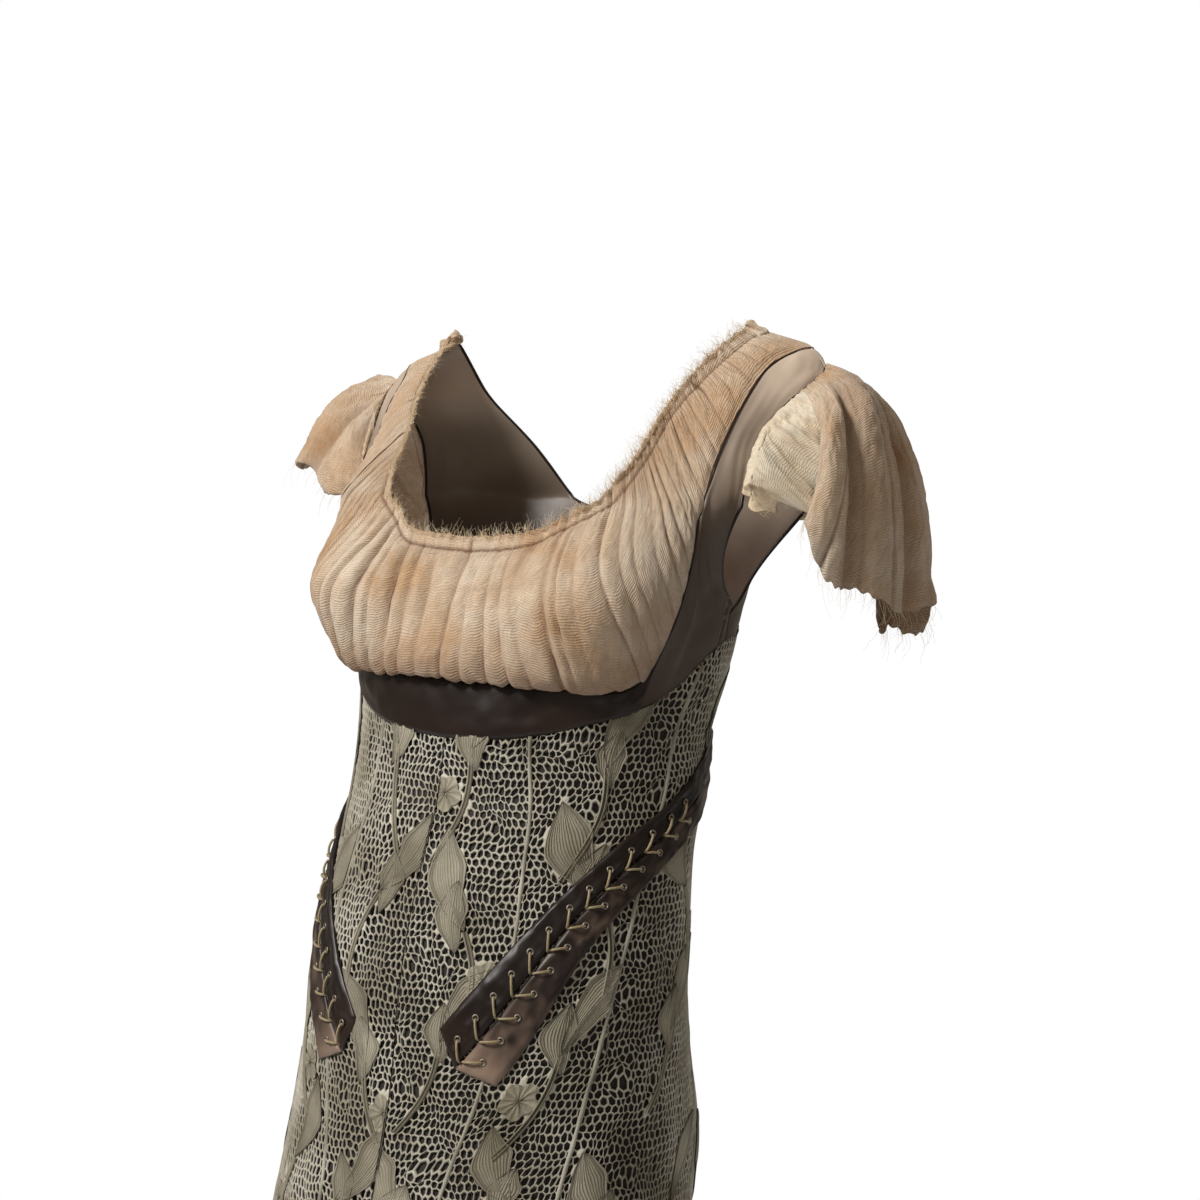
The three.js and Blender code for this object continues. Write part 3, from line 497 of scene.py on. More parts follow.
LACE_TOP = np.array([
    [0, -262.6], [207, -262], [348, -258.6], [509, -251.5], [670, -244.8], [762, -237.2], [836, -227.6],
    [907, -214.9], [980, -206.5], [1118, -198.6], [1400, -192], [2000, -189],
]) / 1000


def lace_top(t):
    """Height of the upper edge of the lace."""
    return column(LACE_TOP, 1, np.abs(t))


# acetate lining: plain, matt and very dark, with a faint dull sheen
lining_cloth, *_ = two_tone("plain acetate lining", "#15110e", "#221b16",
                            {"Roughness": 0.75, "Sheen Weight": 0.15}, {"Scale": 900.0, "Detail": 2.0})
LINING_SHORTER = 0.026        # how far the slip ends above the lace hem

for name, first, last in (("lining_front", -1.0, 1.0), ("lining_back_left", 1.0, 1.998),
                          ("lining_back_right", -1.998, -1.0)):
    u, v = grid(41, 24, (first, last))
    s = lace_top(u) - 0.0008 + (HEM + LINING_SHORTER - lace_top(u)) * v
    # the slip hangs free of the flared hem
    points = skin(u, s, 0.0006 - 0.005 * step(-s, 0.560, 0.760))
    piece = put_on(grid_piece("slip_" + name, points, thick=0.0006, flip=True), lining_cloth, "lining", name)
    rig.sheet(piece, held="hung", rests_on=["satin_back_left", "satin_back_right", "underbust_band"],
             **cut_of(points))

# ---------------------------------------------------------------- lace skirt
# Eight panels of heavy corded lace: a net of uneven long holes, worked round
# solid leaves and small flowers on climbing stems. The seams are fine cords.

SEAM_PRINCESS = np.array([
    [-261.7, 314], [-386.1, 372], [-479.7, 313], [-540.7, 235], [-612.3, 203], [-960, 221],
]) / 1000
SEAM_SIDE = np.array([
    [-197.1, 939], [-232, 909], [-301.9, 866], [-386.1, 788], [-457.9, 700], [-546.6, 596], [-632.5, 576],
    [-960, 574],
]) / 1000
SEAM_BACK = np.array([[-0.192, 1.40], [-0.960, 1.40]])
ZIP_END, ZIP_HALF = -0.428, 0.0165


def seam_line(table):
    return lambda s: column(table, 1, s)


def centre_back(s):
    return 2 - ZIP_HALF * step(s, ZIP_END - 0.008, ZIP_END)


LACE_PANELS = {
    # name: its two seams and the seed of its stems and net
    "centre_front": (lambda s: 0 * s, seam_line(SEAM_PRINCESS), 11),
    "front": (seam_line(SEAM_PRINCESS), seam_line(SEAM_SIDE), 22),
    "side": (seam_line(SEAM_SIDE), seam_line(SEAM_BACK), 33),
    "back": (seam_line(SEAM_BACK), centre_back, 44),
}
CELL_WIDE, CELL_HIGH = 0.0043, 0.0060
CELL_ROW = 0.866 * CELL_HIGH         # height from one staggered row of cells to the next
LACE_OUT, LACE_HEAD = 0.0030, -0.196
SEAM_MARGIN = 0.0018                 # how far a net stays inside its seams, in quarter turns
STEMS_APART, STEM_CLIMB, STEM_WIDE = 0.095, 0.094, 0.0042
CURL = {"leaf": 0.10, "stem": 0.09}  # how far a leaf or stem bows, as a share of its length

# length round the form for each height, to lay a flat pattern on it at its true size
ARC_T = np.linspace(0, 2, 401)
ARC_S = np.linspace(-0.19, HEM - 0.005, 90)
ring = form(ARC_T[None, :], ARC_S[:, None])
ARC = lengths(np.swapaxes(ring, 0, 1))[..., 0].T


def arc_row(s):
    """The row of ARC just above a height, and how far down it is to the next."""
    k = (np.clip(s, ARC_S[-1], ARC_S[0]) - ARC_S[0]) / (ARC_S[1] - ARC_S[0])
    i = np.clip(k.astype(int), 0, len(ARC_S) - 2)
    return i, k - i


def arc_at(t, s):
    """Distance round the form from the centre front."""
    i, down = arc_row(s)
    j = np.clip(t / (ARC_T[1] - ARC_T[0]), 0, len(ARC_T) - 1.001)
    c = j.astype(int)
    above = ARC[i, c] + (ARC[i, c + 1] - ARC[i, c]) * (j - c)
    below = ARC[i + 1, c] + (ARC[i + 1, c + 1] - ARC[i + 1, c]) * (j - c)
    return above + (below - above) * down


def turn_at(arc, s):
    """The turn t at a distance round the form: arc_at backwards."""
    i, down = arc_row(s)
    t = np.zeros_like(arc)
    for row in np.unique(i):
        here = i == row
        above, below = (np.interp(arc[here], ARC[k], ARC_T) for k in (row, row + 1))
        t[here] = above + (below - above) * down[here]
    return t


def noise(x, y, seed):
    """Smooth uneven values from -1 to 1 over a plane, one hill to each unit."""
    table = np.random.default_rng(seed).uniform(-1, 1, (64, 64))
    xi, yi = np.floor(x).astype(int), np.floor(y).astype(int)
    fx, fy = x - xi, y - yi
    fx, fy = fx * fx * (3 - 2 * fx), fy * fy * (3 - 2 * fy)

    def at(a, b):
        return table[(xi + a) % 64, (yi + b) % 64]

    return (at(0, 0) * (1 - fx) + at(1, 0) * fx) * (1 - fy) + (at(0, 1) * (1 - fx) + at(1, 1) * fx) * fy


def leaf_half(f):
    """Half width of a leaf as a share of its widest: a slim base, broad shoulders and a point."""
    f = np.clip(f, 0, 1)
    return np.minimum(f / 0.60, (1 - f) / 0.40) ** 0.75


def plan_motifs(low, high, left, right, seed):
    """Stems that climb a panel with broad leaves to both sides and a flower now and then.

    Each motif is (kind, x, y, angle, length, width), flat, x from the panel's middle.
    """
    rng = np.random.default_rng(seed)
    motifs, y, side = [], low + 0.02, 1
    while y < high:
        row = np.array([y])
        middle = float(arc_at((left(row) + right(row)) / 2, row)[0])
        half = float(arc_at(right(row), row)[0]) - middle
        columns = max(1, int(round(half * 2 / STEMS_APART)))
        for k in range(columns):
            x = (-half + (k + 0.5) * 2 * half / columns) + rng.uniform(-0.010, 0.010)
            lift = y + rng.uniform(-0.014, 0.014)
            lean = rng.uniform(0.35, 0.75) * (side if k % 2 else -side)
            length, width = rng.uniform(0.054, 0.072), rng.uniform(0.024, 0.033)
            motifs.append(("leaf", x, lift, math.pi / 2 - lean, length, width))
            if rng.random() < 0.7:
                turned = math.pi / 2 + lean + 0.5 * side
                motifs.append(("leaf", x - 0.004 * side, lift - 0.014, turned, length * 0.66, width * 0.85))
            if rng.random() < 0.45:
                motifs.append(("flower", x + 0.018 * side, lift - 0.030, rng.uniform(0, 1), 0.013, 0.010))
            down = -math.pi / 2 - 0.5 * lean
            motifs.append(("stem", x, lift, down, rng.uniform(0.050, 0.080), STEM_WIDE))
        y += STEM_CLIMB
        side = -side
    return motifs


def inside_motifs(x, y, motifs, grow):
    """Which places lie on a motif."""
    found = np.zeros(x.shape, bool)
    for kind, mx, my, angle, length, width in motifs:
        dx, dy = x - mx, y - my
        if kind == "flower":
            found |= np.hypot(dx, dy) < length + grow
            continue
        along = dx * math.cos(angle) + dy * math.sin(angle)
        across = -dx * math.sin(angle) + dy * math.cos(angle)
        f = np.clip(along / length, 0, 1)
        off = np.abs(across - CURL[kind] * length * np.sin(np.pi * f))
        half, end = (width / 2, 0) if kind == "stem" else (width / 2 * leaf_half(f), grow)
        found |= (along > -end) & (along < length + end) & (off < half + grow)
    return found


def net_cells(x0, x1, y0, y1, seed):
    """A net of uneven cells: their centres and six corners, from a shaken staggered grid."""
    rng = np.random.default_rng(seed)
    n, m = int((x1 - x0) / CELL_WIDE) + 3, int((y1 - y0) / CELL_ROW) + 3
    i, j = np.meshgrid(np.arange(n), np.arange(m), indexing="ij")
    x = x0 + (i + 0.5 * (j % 2) - 1) * CELL_WIDE + rng.normal(0, 0.24 * CELL_WIDE, i.shape)
    y = y0 + (j - 1) * CELL_ROW + rng.normal(0, 0.22 * CELL_HIGH, i.shape)
    x += 0.0022 * np.sin(y * 95 + 2.1 * np.sin(x * 60)) + 0.0015 * np.sin(y * 210)
    # one cell in sixty is opened wider, and its neighbours give way
    for _ in range(n * m // 60):
        a, b = rng.integers(2, n - 2), rng.integers(2, m - 2)
        over = 1 if b % 2 else -1
        for p, q in ((1, 0), (-1, 0), (0, 1), (0, -1), (over, 1), (over, -1)):
            x[a + p, b + q] += (x[a + p, b + q] - x[a, b]) * 0.34
            y[a + p, b + q] += (y[a + p, b + q] - y[a, b]) * 0.55
    inner = (slice(1, n - 1), slice(1, m - 1))
    ii, jj, odd = i[inner], j[inner], (j % 2)[inner]
    around = []
    # the six neighbours in turn: the step across in an even row and in an odd one, then the step up
    for even_x, odd_x, up in ((1, 1, 0), (0, 1, 1), (-1, 0, 1), (-1, -1, 0), (-1, 0, -1), (0, 1, -1)):
        a, b = ii + np.where(odd, odd_x, even_x), jj + up
        around.append((x[a, b], y[a, b]))
    cx, cy = x[inner], y[inner]
    corners = []
    for k in range(6):
        (ax, ay), (bx, by) = around[k], around[(k + 1) % 6]
        corners.append(np.stack([(cx + ax + bx) / 3, (cy + ay + by) / 3], -1))
    return np.stack([cx, cy], -1).reshape(-1, 2), np.stack(corners, -2).reshape(-1, 6, 2)


GROOVE_SCALE = 0.3142 / 0.0021      # a groove every 2.1 mm


def lace_cotton(name, fresh, aged, deep, grooved=False):
    """Matt cotton in cream and sage, softly fibrous, with painted shade where it lies deep; grooved where stitched,
    with painted shade in the grooves.
    """
    made, tree, shader = material(name, {"Roughness": 0.88, "Specular IOR Level": 0.25, "Sheen Weight": 0.08})
    dye = texture(tree, "Noise", over_object(tree), {"Scale": 19.0, "Detail": 4.0})
    fibre = texture(tree, "Noise", over_object(tree), {"Scale": 900.0, "Detail": 2.0, "Roughness": 0.7})
    tone = mix(tree, colour(aged), colour(fresh), between(tree, dye, 0.36, 0.64))
    tone = mix(tree, tone, fibre.outputs["Color"], 0.40, "MULTIPLY")
    # painted shade: the colour goes over to the deep colour by the shade a piece carries
    tone = mix(tree, tone, colour(deep), shade_of(tree))
    normal = relief(tree, fibre, 0.45, 0.0004)
    if grooved:
        groove = texture(tree, "Wave", over_cloth(tree), bands_direction="Y", inputs={
            "Scale": GROOVE_SCALE, "Distortion": 1.6, "Detail": 2.0, "Detail Scale": 0.8})
        # the grooves also darken the colour in their hollows: painted shade
        tone = mix(tree, tone, groove.outputs["Color"], 0.26, "MULTIPLY")
        normal = relief(tree, groove, 0.8, 0.0007, normal)
    tree.links.new(tone, shader.inputs["Base Color"])
    tree.links.new(normal, shader.inputs["Normal"])
    return made


lace_thread = lace_cotton("corded cotton lace", "#e8e3d2", "#b3ac97", "#3a3128")
leaf_stitch = lace_cotton("satin stitched cotton", "#c8c1ab", "#948c77", "#51483a", grooved=True)


def lace_panel(name, left, right, seed, mirror):
    """The net of one panel with its cells open, closed only under the motifs, and what its relief needs."""
    rows = np.linspace(LACE_HEAD, HEM, 60)
    middle_s = arc_at((left(rows) + right(rows)) / 2, rows)
    halves = np.maximum(arc_at(right(rows), rows) - middle_s, middle_s - arc_at(left(rows), rows))
    reach = float(halves.max()) + 0.004
    motifs = plan_motifs(HEM, LACE_HEAD - 0.02, left, right, seed + (7 if mirror else 0))
    centres, corners = net_cells(-reach, reach, HEM - 0.004, LACE_HEAD + 0.004, seed + (5 if mirror else 0))

    def to_turn(x, y):
        return turn_at(arc_at((left(y) + right(y)) / 2, y) + x, y)

    x, y = centres.T
    t = to_turn(x, y)
    keep = (t > left(y) - 0.006) & (t < right(y) + 0.006) & (y < lace_top(t) + 0.002) & (y > HEM - 0.002)
    centres, corners = centres[keep], corners[keep]
    flat, inverse = np.unique(np.round(corners.reshape(-1, 2), 6), axis=0, return_inverse=True)
    inverse = inverse.reshape(-1, 6)
    solid = inside_motifs(centres[:, 0], centres[:, 1], motifs, -0.0012)
    count, cells = len(flat), len(centres)
    # each cell has a smaller hole inside its corners, and a middle
    open_share = np.random.default_rng(seed + 3).uniform(0.62, 0.80, cells)
    outer = flat[inverse]
    middle = centres[:, None, :] * 0.2 + outer.mean(1, keepdims=True) * 0.8
    holes = middle + (outer - middle) * open_share[:, None, None]
    xy = np.concatenate([flat, holes.reshape(-1, 2), middle.reshape(-1, 2)])
    y = np.clip(xy[:, 1], HEM, None)
    t = np.clip(to_turn(xy[:, 0], y), left(y) + SEAM_MARGIN, right(y) - SEAM_MARGIN)
    y = np.minimum(y, lace_top(t) - 0.0004)
    # a thread is round: it falls away towards its hole, and painted shade darkens it there
    sunk, shade = np.repeat([[0, 0.0010, 0.0004], [0, 0.9, 0.2]], [count, 6 * cells, cells], axis=1)
    points = skin(t, y, LACE_OUT - sunk)
    hole = count + 6 * np.arange(cells)[:, None] + np.arange(6)[None, :]
    following = np.roll(inverse, -1, axis=1)
    quads = np.stack([inverse, following, np.roll(hole, -1, axis=1), hole], -1)[~solid].reshape(-1, 4)
    # a cell under a leaf or a flower is closed with a fan to its middle
    hub = np.broadcast_to(count + 6 * cells + np.arange(cells)[:, None], inverse.shape)
    fans = np.stack([inverse, following, hub], -1)[solid].reshape(-1, 3)
    if mirror:
        points[:, 0] *= -1
        quads, fans = quads[:, ::-1], fans[:, ::-1]
    used = np.unique(np.concatenate([quads.reshape(-1), fans.reshape(-1)]))
    renumber = np.zeros(len(points), int)
    renumber[used] = np.arange(len(used))
    net = mesh_piece(name, points[used], [renumber[quads], renumber[fans]], shade=shade[used])
    return net, motifs, to_turn


def flat_motif(kind, mx, my, angle, length, width):
    """One motif as a grid: its flat places, its cloth uv, its rise over the net and its shade."""
    if kind == "flower":
        r, a = grid(4, 21, (0.08, 1), (0, 2 * np.pi))
        lobe = np.abs(np.cos(2.5 * a + angle))
        out = length * r * (0.72 + 0.28 * lobe)
        flat = np.stack([mx + out * np.cos(a), my + out * np.sin(a)], -1)
        cloth = np.stack([r * length, a * 0.0040], -1)
        # the flower is darker at its centre, with painted shade between its petals
        return flat, cloth, 0.0010 * lobe * (1 - r) + 0.0006 * (r > 0.9), 0.45 * (r < 0.2) + 0.35 * (1 - lobe)
    f, g = grid(*((15, 11) if kind == "leaf" else (12, 7)), along=(-1, 1))
    side = np.abs(g)
    if kind == "leaf":
        half = width / 2 * leaf_half(f) * (1 + 0.14 * noise(f * 6 + 40 * mx, np.sign(g) * 2 + 40 * my, 7))
        rise = 0.0008 * (side > 0.9) + 0.0007 * (side < 0.1) + 0.0004 * (1 - g * g)
        # painted shade in the groove inside the corded edge, and a little over the lower fill
        dark = 0.55 * (np.abs(side - 0.80) < 0.05) + 0.10 * (side < 0.75)
    else:
        # a stem is a pair of cords side by side
        half = width / 2 * np.ones_like(f)
        rise = 0.0012 * (np.abs(side - 0.67) < 0.1)
        # painted shade between the two cords and along their outer sides
        dark = 0.75 * (side < 0.4) + 0.55 * (side > 0.9)
    along, across = f * length, g * half + CURL[kind] * length * np.sin(np.pi * f)
    flat = np.stack([mx + along * math.cos(angle) - across * math.sin(angle),
                     my + along * math.sin(angle) + across * math.cos(angle)], -1)
    return flat, np.stack([along, g * width / 2], -1), rise, dark


def relief_piece(name, motifs, to_turn, left, right, mirror):
    """The solid leaves, flowers and stems of one panel, with corded edges and veins."""
    points, faces, shades, flats, base = [], [], [], [], 0
    for motif in motifs:
        flat, cloth, rise, dark = flat_motif(*motif)
        flat = flat.reshape(-1, 2)
        y = np.clip(flat[:, 1], HEM + 0.0006, None)
        t = to_turn(flat[:, 0], y)
        if (t > right(y) + 0.03).all() or (t < left(y) - 0.03).all():
            continue
        t = np.clip(t, left(y) + 0.004, right(y) - 0.004)
        y = np.minimum(y, lace_top(t) - 0.0010)
        p = skin(t, y, LACE_OUT + 0.0002 + rise.reshape(-1))
        quads = cells_of(*rise.shape)
        kept = doubled_areas(*(p[quads[:, k]] for k in range(4))) > 1e-9
        points.append(p)
        shades.append(dark.reshape(-1))
        flats.append(cloth.reshape(-1, 2))
        faces.append(quads[kept] + base)
        base += rise.size
    points, faces = np.concatenate(points), np.concatenate(faces)
    if mirror:
        points[:, 0] *= -1
        faces = faces[:, ::-1]
    return mesh_piece(name, points, [faces], np.concatenate(flats), np.concatenate(shades))


def tube_along(name, path, radius, sides=8, swell=None, shade=None):
    """A round cord along points, its rings square to the path; swell and shade have a value for each ring."""
    path = np.asarray(path, float)
    ahead = unit(np.gradient(path, axis=0))
    side = np.empty_like(path)
    last = np.cross(ahead[0], (0.12, 0.31, 0.94))
    for i, way in enumerate(ahead):
        last = side[i] = unit(last - way * (last @ way))
    other = np.cross(ahead, side)
    angle = 2 * np.pi * np.arange(sides)[None, :, None] / sides
    size = radius * (np.ones(len(path)) if swell is None else np.asarray(swell))[:, None, None]
    rings = path[:, None, :] + size * (side[:, None, :] * np.cos(angle) + other[:, None, :] * np.sin(angle))
    index = np.arange(len(path) * sides).reshape(len(path), sides)
    nxt = np.roll(index, -1, axis=1)
    quads = np.stack([index[:-1], nxt[:-1], nxt[1:], index[1:]], -1).reshape(-1, 4)
    shade = None if shade is None else np.repeat(shade, sides)
    return mesh_piece(name, rings.reshape(-1, 3), [quads, index[:1, ::-1], index[-1:]], shade=shade)


def panel_cut(left, right):
    """Width, length and area of a skirt panel's flat cut."""
    rows = np.linspace(-0.2, HEM, 120)
    wide = arc_at(right(rows), rows) - arc_at(left(rows), rows)
    widest = float(wide.max())
    head = float(np.mean(lace_top(np.array([left(np.array(-0.22)), right(np.array(-0.22))]))))
    height = head - HEM
    area = float(wide[rows < head].mean() * height)
    return dict(flat=(widest, height * 1.01), area=min(area, 0.99 * widest * height))


for part, (left, right, seed) in LACE_PANELS.items():
    for hand, mirror in (("left", False), ("right", True)):
        net, motifs, to_turn = lace_panel(f"net_{part}_{hand}", left, right, seed, mirror)
        leaves = relief_piece(f"leaves_{part}_{hand}", motifs, to_turn, left, right, mirror)
        # the seam to the next panel is worked over with a soft cord, but not down the centre back
        top = -0.430 if part == "back" else float(lace_top(right(-0.23))) - 0.003
        rows = np.linspace(HEM + 0.0010, top, 170)
        wander = 0.0015 * noise(rows * 90, 0 * rows, seed)
        line = skin(right(rows) + wander, rows, LACE_OUT - 0.0006) * (-1 if mirror else 1, 1, 1)
        cord = tube_along(f"seam_cord_{part}_{hand}", line, 0.0014, 7,
                          swell=1 + 0.22 * noise(rows * 160, 0 * rows, seed + mirror),
                          shade=0.38 + 0.22 * noise(rows * 70, 0 * rows, seed + 1))
        put_on(net, lace_thread, "lace", f"lace_{part}_{hand}")
        put_on(leaves, leaf_stitch, "lace")
        put_on(cord, lace_thread, "lace")
        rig.sheet(net, held="hung", rests_on=["satin_back_" + hand, "underbust_band"],
                 with_pieces=[leaves, cord], **panel_cut(left, right))

# ---------------------------------------------------------------- underbust band
# A folded band of dark brown satin, on edge under the gathers and over the top
# of the lace. It is pulled tight round the ribs, so soft creases run along it.

BUST_PANEL = np.array([
    # share of the way across, then the place and height of the foot of the gathers
    [0, 0, -232.1], [200, 143, -233.3], [400, 284, -234.8], [550, 395, -236.5], [670, 486, -236.5],
    [750, 547, -235.5], [900, 639, -230.7], [1000, 680, -218.7],
]) / 1000


def satin(name, dark, light, rough, painted_shade):
    """Heavy satin: a soft sheen and shallow crush marks, going over to a colour of painted shade where a piece carries
    shade.
    """
    made, tree, shader = material(name, {
        "Roughness": rough, "Specular IOR Level": 0.36, "Sheen Weight": 0.06, "Sheen Roughness": 0.4})
    place = over_object(tree)
    soft = {"Detail": 2.0, "Roughness": 0.45}
    cloud = texture(tree, "Noise", place, {"Scale": 11.0, "Distortion": 0.4, **soft})
    crush = texture(tree, "Noise", place, {"Scale": 24.0, "Distortion": 0.8, **soft})
    floats = texture(tree, "Noise", place, {"Scale": 1600.0, "Detail": 1.0})
    tone = mix(tree, colour(dark), colour(light), between(tree, cloud, 0.36, 0.66))
    # painted shade: the base colour goes over to a darker colour by the shade the piece carries
    tree.links.new(mix(tree, tone, colour(painted_shade), shade_of(tree)), shader.inputs["Base Color"])
    normal = relief(tree, floats, 0.12, 0.0002, relief(tree, crush, 0.30, 0.004))
    tree.links.new(normal, shader.inputs["Normal"])
    return made


# its last colour, close to its own, is the painted shade over the upper strips
dark_satin = satin("dark brown satin", "#1a0f0a", "#2b1b13", 0.38, "#1a110d")

u, v = grid(200, 13, (-1, 1))
a = np.abs(u)
t = column(BUST_PANEL, 1, a)
foot = lace_top(t) - 0.0035
head = column(BUST_PANEL, 2, a) + 0.004 * (1 - step(a, 0.6, 0.8)) + 0.003
roundness = np.sin(np.pi * v) ** 0.5
crease = noise(u * 7 + 9, v * 2.6 + 0.8 * noise(u * 3, v, 4), 5) + 0.6 * noise(u * 15, v * 5, 6)
points = skin(np.sign(u) * t, foot + (head - foot) * v, 0.0030 + (0.0022 + 0.0010 * crease) * roundness)
band = grid_piece("underbust_band_satin", points, thick=0.0014)
put_on(band, dark_satin, "dark_satin", "underbust_band")
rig.sheet(band, held="stretched", rests_on=["satin_side_front_left", "satin_side_front_right"],
         **cut_of(points))

# ---------------------------------------------------------------- satin bodice
# The side fronts and the back are cut in taupe satin. They lie smooth over the
# body, with pull lines at the underarm, and a thin dark piping edges the front.
# Beside the gauze it is a fine seam and a painted shadow line where the gauze
# lies over the satin.

GAUZE_SIDE = np.array([
    # height and place of the seam beside the gauze
    [-244.9, 680], [-218.7, 680], [-201.4, 693], [-185.2, 708], [-167, 712], [-149.8, 695], [-128.8, 639],
    [-111.9, 594], [-97, 597], [-78.5, 593], [-42.5, 592], [-26.8, 604], [-9, 680], [0, 750],
]) / 1000
SIDE_FRONT = np.array([
    # height of the inner edge, then the place and height of the outer edge
    [-244.9, 1050, -202], [-218.7, 1050, -194], [-196, 1050, -186], [-174, 1050, -178], [-154, 940, -164],
    [-134, 820, -141], [-114, 756, -118], [-97, 744, -99], [-78.8, 734, -80], [-60.6, 748, -62],
    [-42.4, 790, -44], [-30.3, 832, -31.5], [-18.2, 875, -19.5], [-12.1, 900, -13], [-6.1, 915, -6.5],
    [0, 930, 0],
]) / 1000
BACK = np.array([
    # place and height of the edge at the side and armhole, then at the zip and neckline
    [1050, -202, 1983.5, -189], [1050, -193, 1983.5, -168], [1050, -184, 1983.5, -144],
    [1140, -173, 1983.5, -120], [1200, -155, 1900, -118], [1235, -134, 1790, -108],
    [1250, -106, 1700, -84], [1240, -78, 1640, -58], [1200, -48, 1598, -34], [1120, -20, 1572, -14],
    [1070, 0, 1560, 0],
]) / 1000
SATIN_OUT, SATIN_THICK, SATIN_TOP = 0.0027, 0.0012, -0.00001
PIPING_OUT, PIPING_RADIUS = 0.0022, 0.0012
ARMHOLE_ROW, NECKLINE_ROW = 2, 3                    # the rows of BACK where these edges begin
HANDS = (("left", 1), ("right", -1))                # the wearer's hand and which way its x runs
# its last colour is painted shade, for below the shoulder and under the arm
taupe_satin = satin("taupe satin", "#b5a391", "#dccab6", 0.36, "#2b180b")


def side_front(u, v):
    """Place and height on a side front: u goes from the gauze to the armhole, v up from the lace."""
    inner_s, outer_t, outer_s = by_row(SIDE_FRONT, v * (len(SIDE_FRONT) - 1))
    inner_t = column(GAUZE_SIDE, 1, inner_s)
    t = inner_t + (outer_t - inner_t) * u
    s = inner_s + (outer_s - inner_s) * u
    return t, np.minimum(s + np.clip(1 - v / 0.06, 0, 1) * (lace_top(t) - 0.003 - s), SATIN_TOP)


def satin_side(piece, solid, hand, rests_on, points, **pipings):
    """Put on a satin piece with its dark pipings, each given as a line and a radius."""
    cords = [tube_along(f"piping_{name}_{hand}", *line) for name, line in pipings.items()]
    put_on(piece, taupe_satin, "satin", solid + hand)
    for cord in cords:
        put_on(cord, dark_satin, "dark_satin")
    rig.sheet(piece, held="stretched", rests_on=[rests_on + hand], with_pieces=cords, **cut_of(points))


u, v = grid(40, 92, (-0.02, 1))
t, s = side_front(u, v)
pull = noise(u * 2.3 + 2 * v, v * 9, 31) * 0.0012 + noise(u * 5, v * 16 + 3 * u, 32) * 0.0005
# one drag line runs from the cup down to the lace
crest = np.exp(-((u - 0.10 - 0.55 * np.clip(0.30 - v, 0, 1)) / 0.055) ** 2)
drag = 0.0034 * crest * step(v, 0.02, 0.10) * (1 - step(v, 0.30, 0.52))
edge = np.clip(np.minimum(np.minimum(u + 0.02, 1 - u) * 9, 1), 0, 1)
# painted shade: the satin darkens below the shoulder and more under the arm, where it turns from the light
underarm_painted_shade = 0.56 * step(-s, 0.026, 0.074) + 0.36 * step(-s, 0.075, 0.150)
seam_s = np.linspace(-0.232, -0.0004, 150)
armhole = side_front(np.full(160, 1.0), np.linspace(0.20, 0.998, 160))
for hand, way in HANDS:
    mirror = (way, 1, 1)
    points = skin(t, s, SATIN_OUT + (pull + drag) * edge) * mirror
    cloth = grid_piece("satin_side_front_cloth_" + hand, points, shade=underarm_painted_shade, thick=SATIN_THICK,
                       flip=way < 0)
    satin_side(cloth, "satin_side_front_", hand, "satin_back_", points,
               # beside the gauze: a fine seam and a painted shadow line
               beside_gauze=(skin(column(GAUZE_SIDE, 1, seam_s) + 0.006, seam_s, 0.0034) * mirror, 0.0005),
               front_armhole=(skin(*armhole, PIPING_OUT) * mirror, PIPING_RADIUS))

u, v = grid(48, 66)
side_t, side_s, mid_t, mid_s = by_row(BACK, v * (len(BACK) - 1))
t = side_t + (mid_t - side_t) * u
s = np.minimum(side_s + (mid_s - side_s) * u, SATIN_TOP)
s = s + np.clip(1 - v / 0.06, 0, 1) * (lace_top(t) - 0.0015 - s)
pull = noise(u * 3 + v, v * 8, 41) * 0.0011 + noise(u * 7, v * 15, 42) * 0.0004
# painted shade: the satin darkens below the shoulder and more under the arm, where it turns from the light
underarm_painted_shade = 0.55 * step(-s, 0.032, 0.078) + 0.38 * step(-s, 0.075, 0.150)
_, _, neck_t, neck_s = by_row(BACK, np.linspace(NECKLINE_ROW, len(BACK) - 1, 140))
hole_t, hole_s, _, _ = by_row(BACK, np.linspace(ARMHOLE_ROW, len(BACK) - 1, 140))
for hand, way in HANDS:
    mirror = (way, 1, 1)
    points = skin(t, s, SATIN_OUT + pull * np.clip(np.minimum(u, 1 - u) * 9, 0, 1)) * mirror
    # the top edge is sewn in under the end of the strap
    points[..., 1] -= 0.0018 * step(s, -0.006, -0.0005)
    cloth = grid_piece("satin_back_cloth_" + hand, points, shade=underarm_painted_shade, thick=SATIN_THICK, flip=way < 0)
    satin_side(cloth, "satin_back_", hand, "satin_side_front_", points,
               back_neckline=(skin(neck_t, np.minimum(neck_s, -0.0004), PIPING_OUT) * mirror, PIPING_RADIUS),
               back_armhole=(skin(hole_t, np.minimum(hole_s, -0.0004), PIPING_OUT) * mirror, PIPING_RADIUS))

# ---------------------------------------------------------------- gathered gauze bust
# One wide strip of crinkled cotton gauze goes from the foot of the bust to the
# neckline and on over each shoulder. A gathering thread draws it up a little
# inside its raw neckline edge. The folds run from there to the outer edge: they
# hang straight at the front, fan out over each cup and cross the strap.

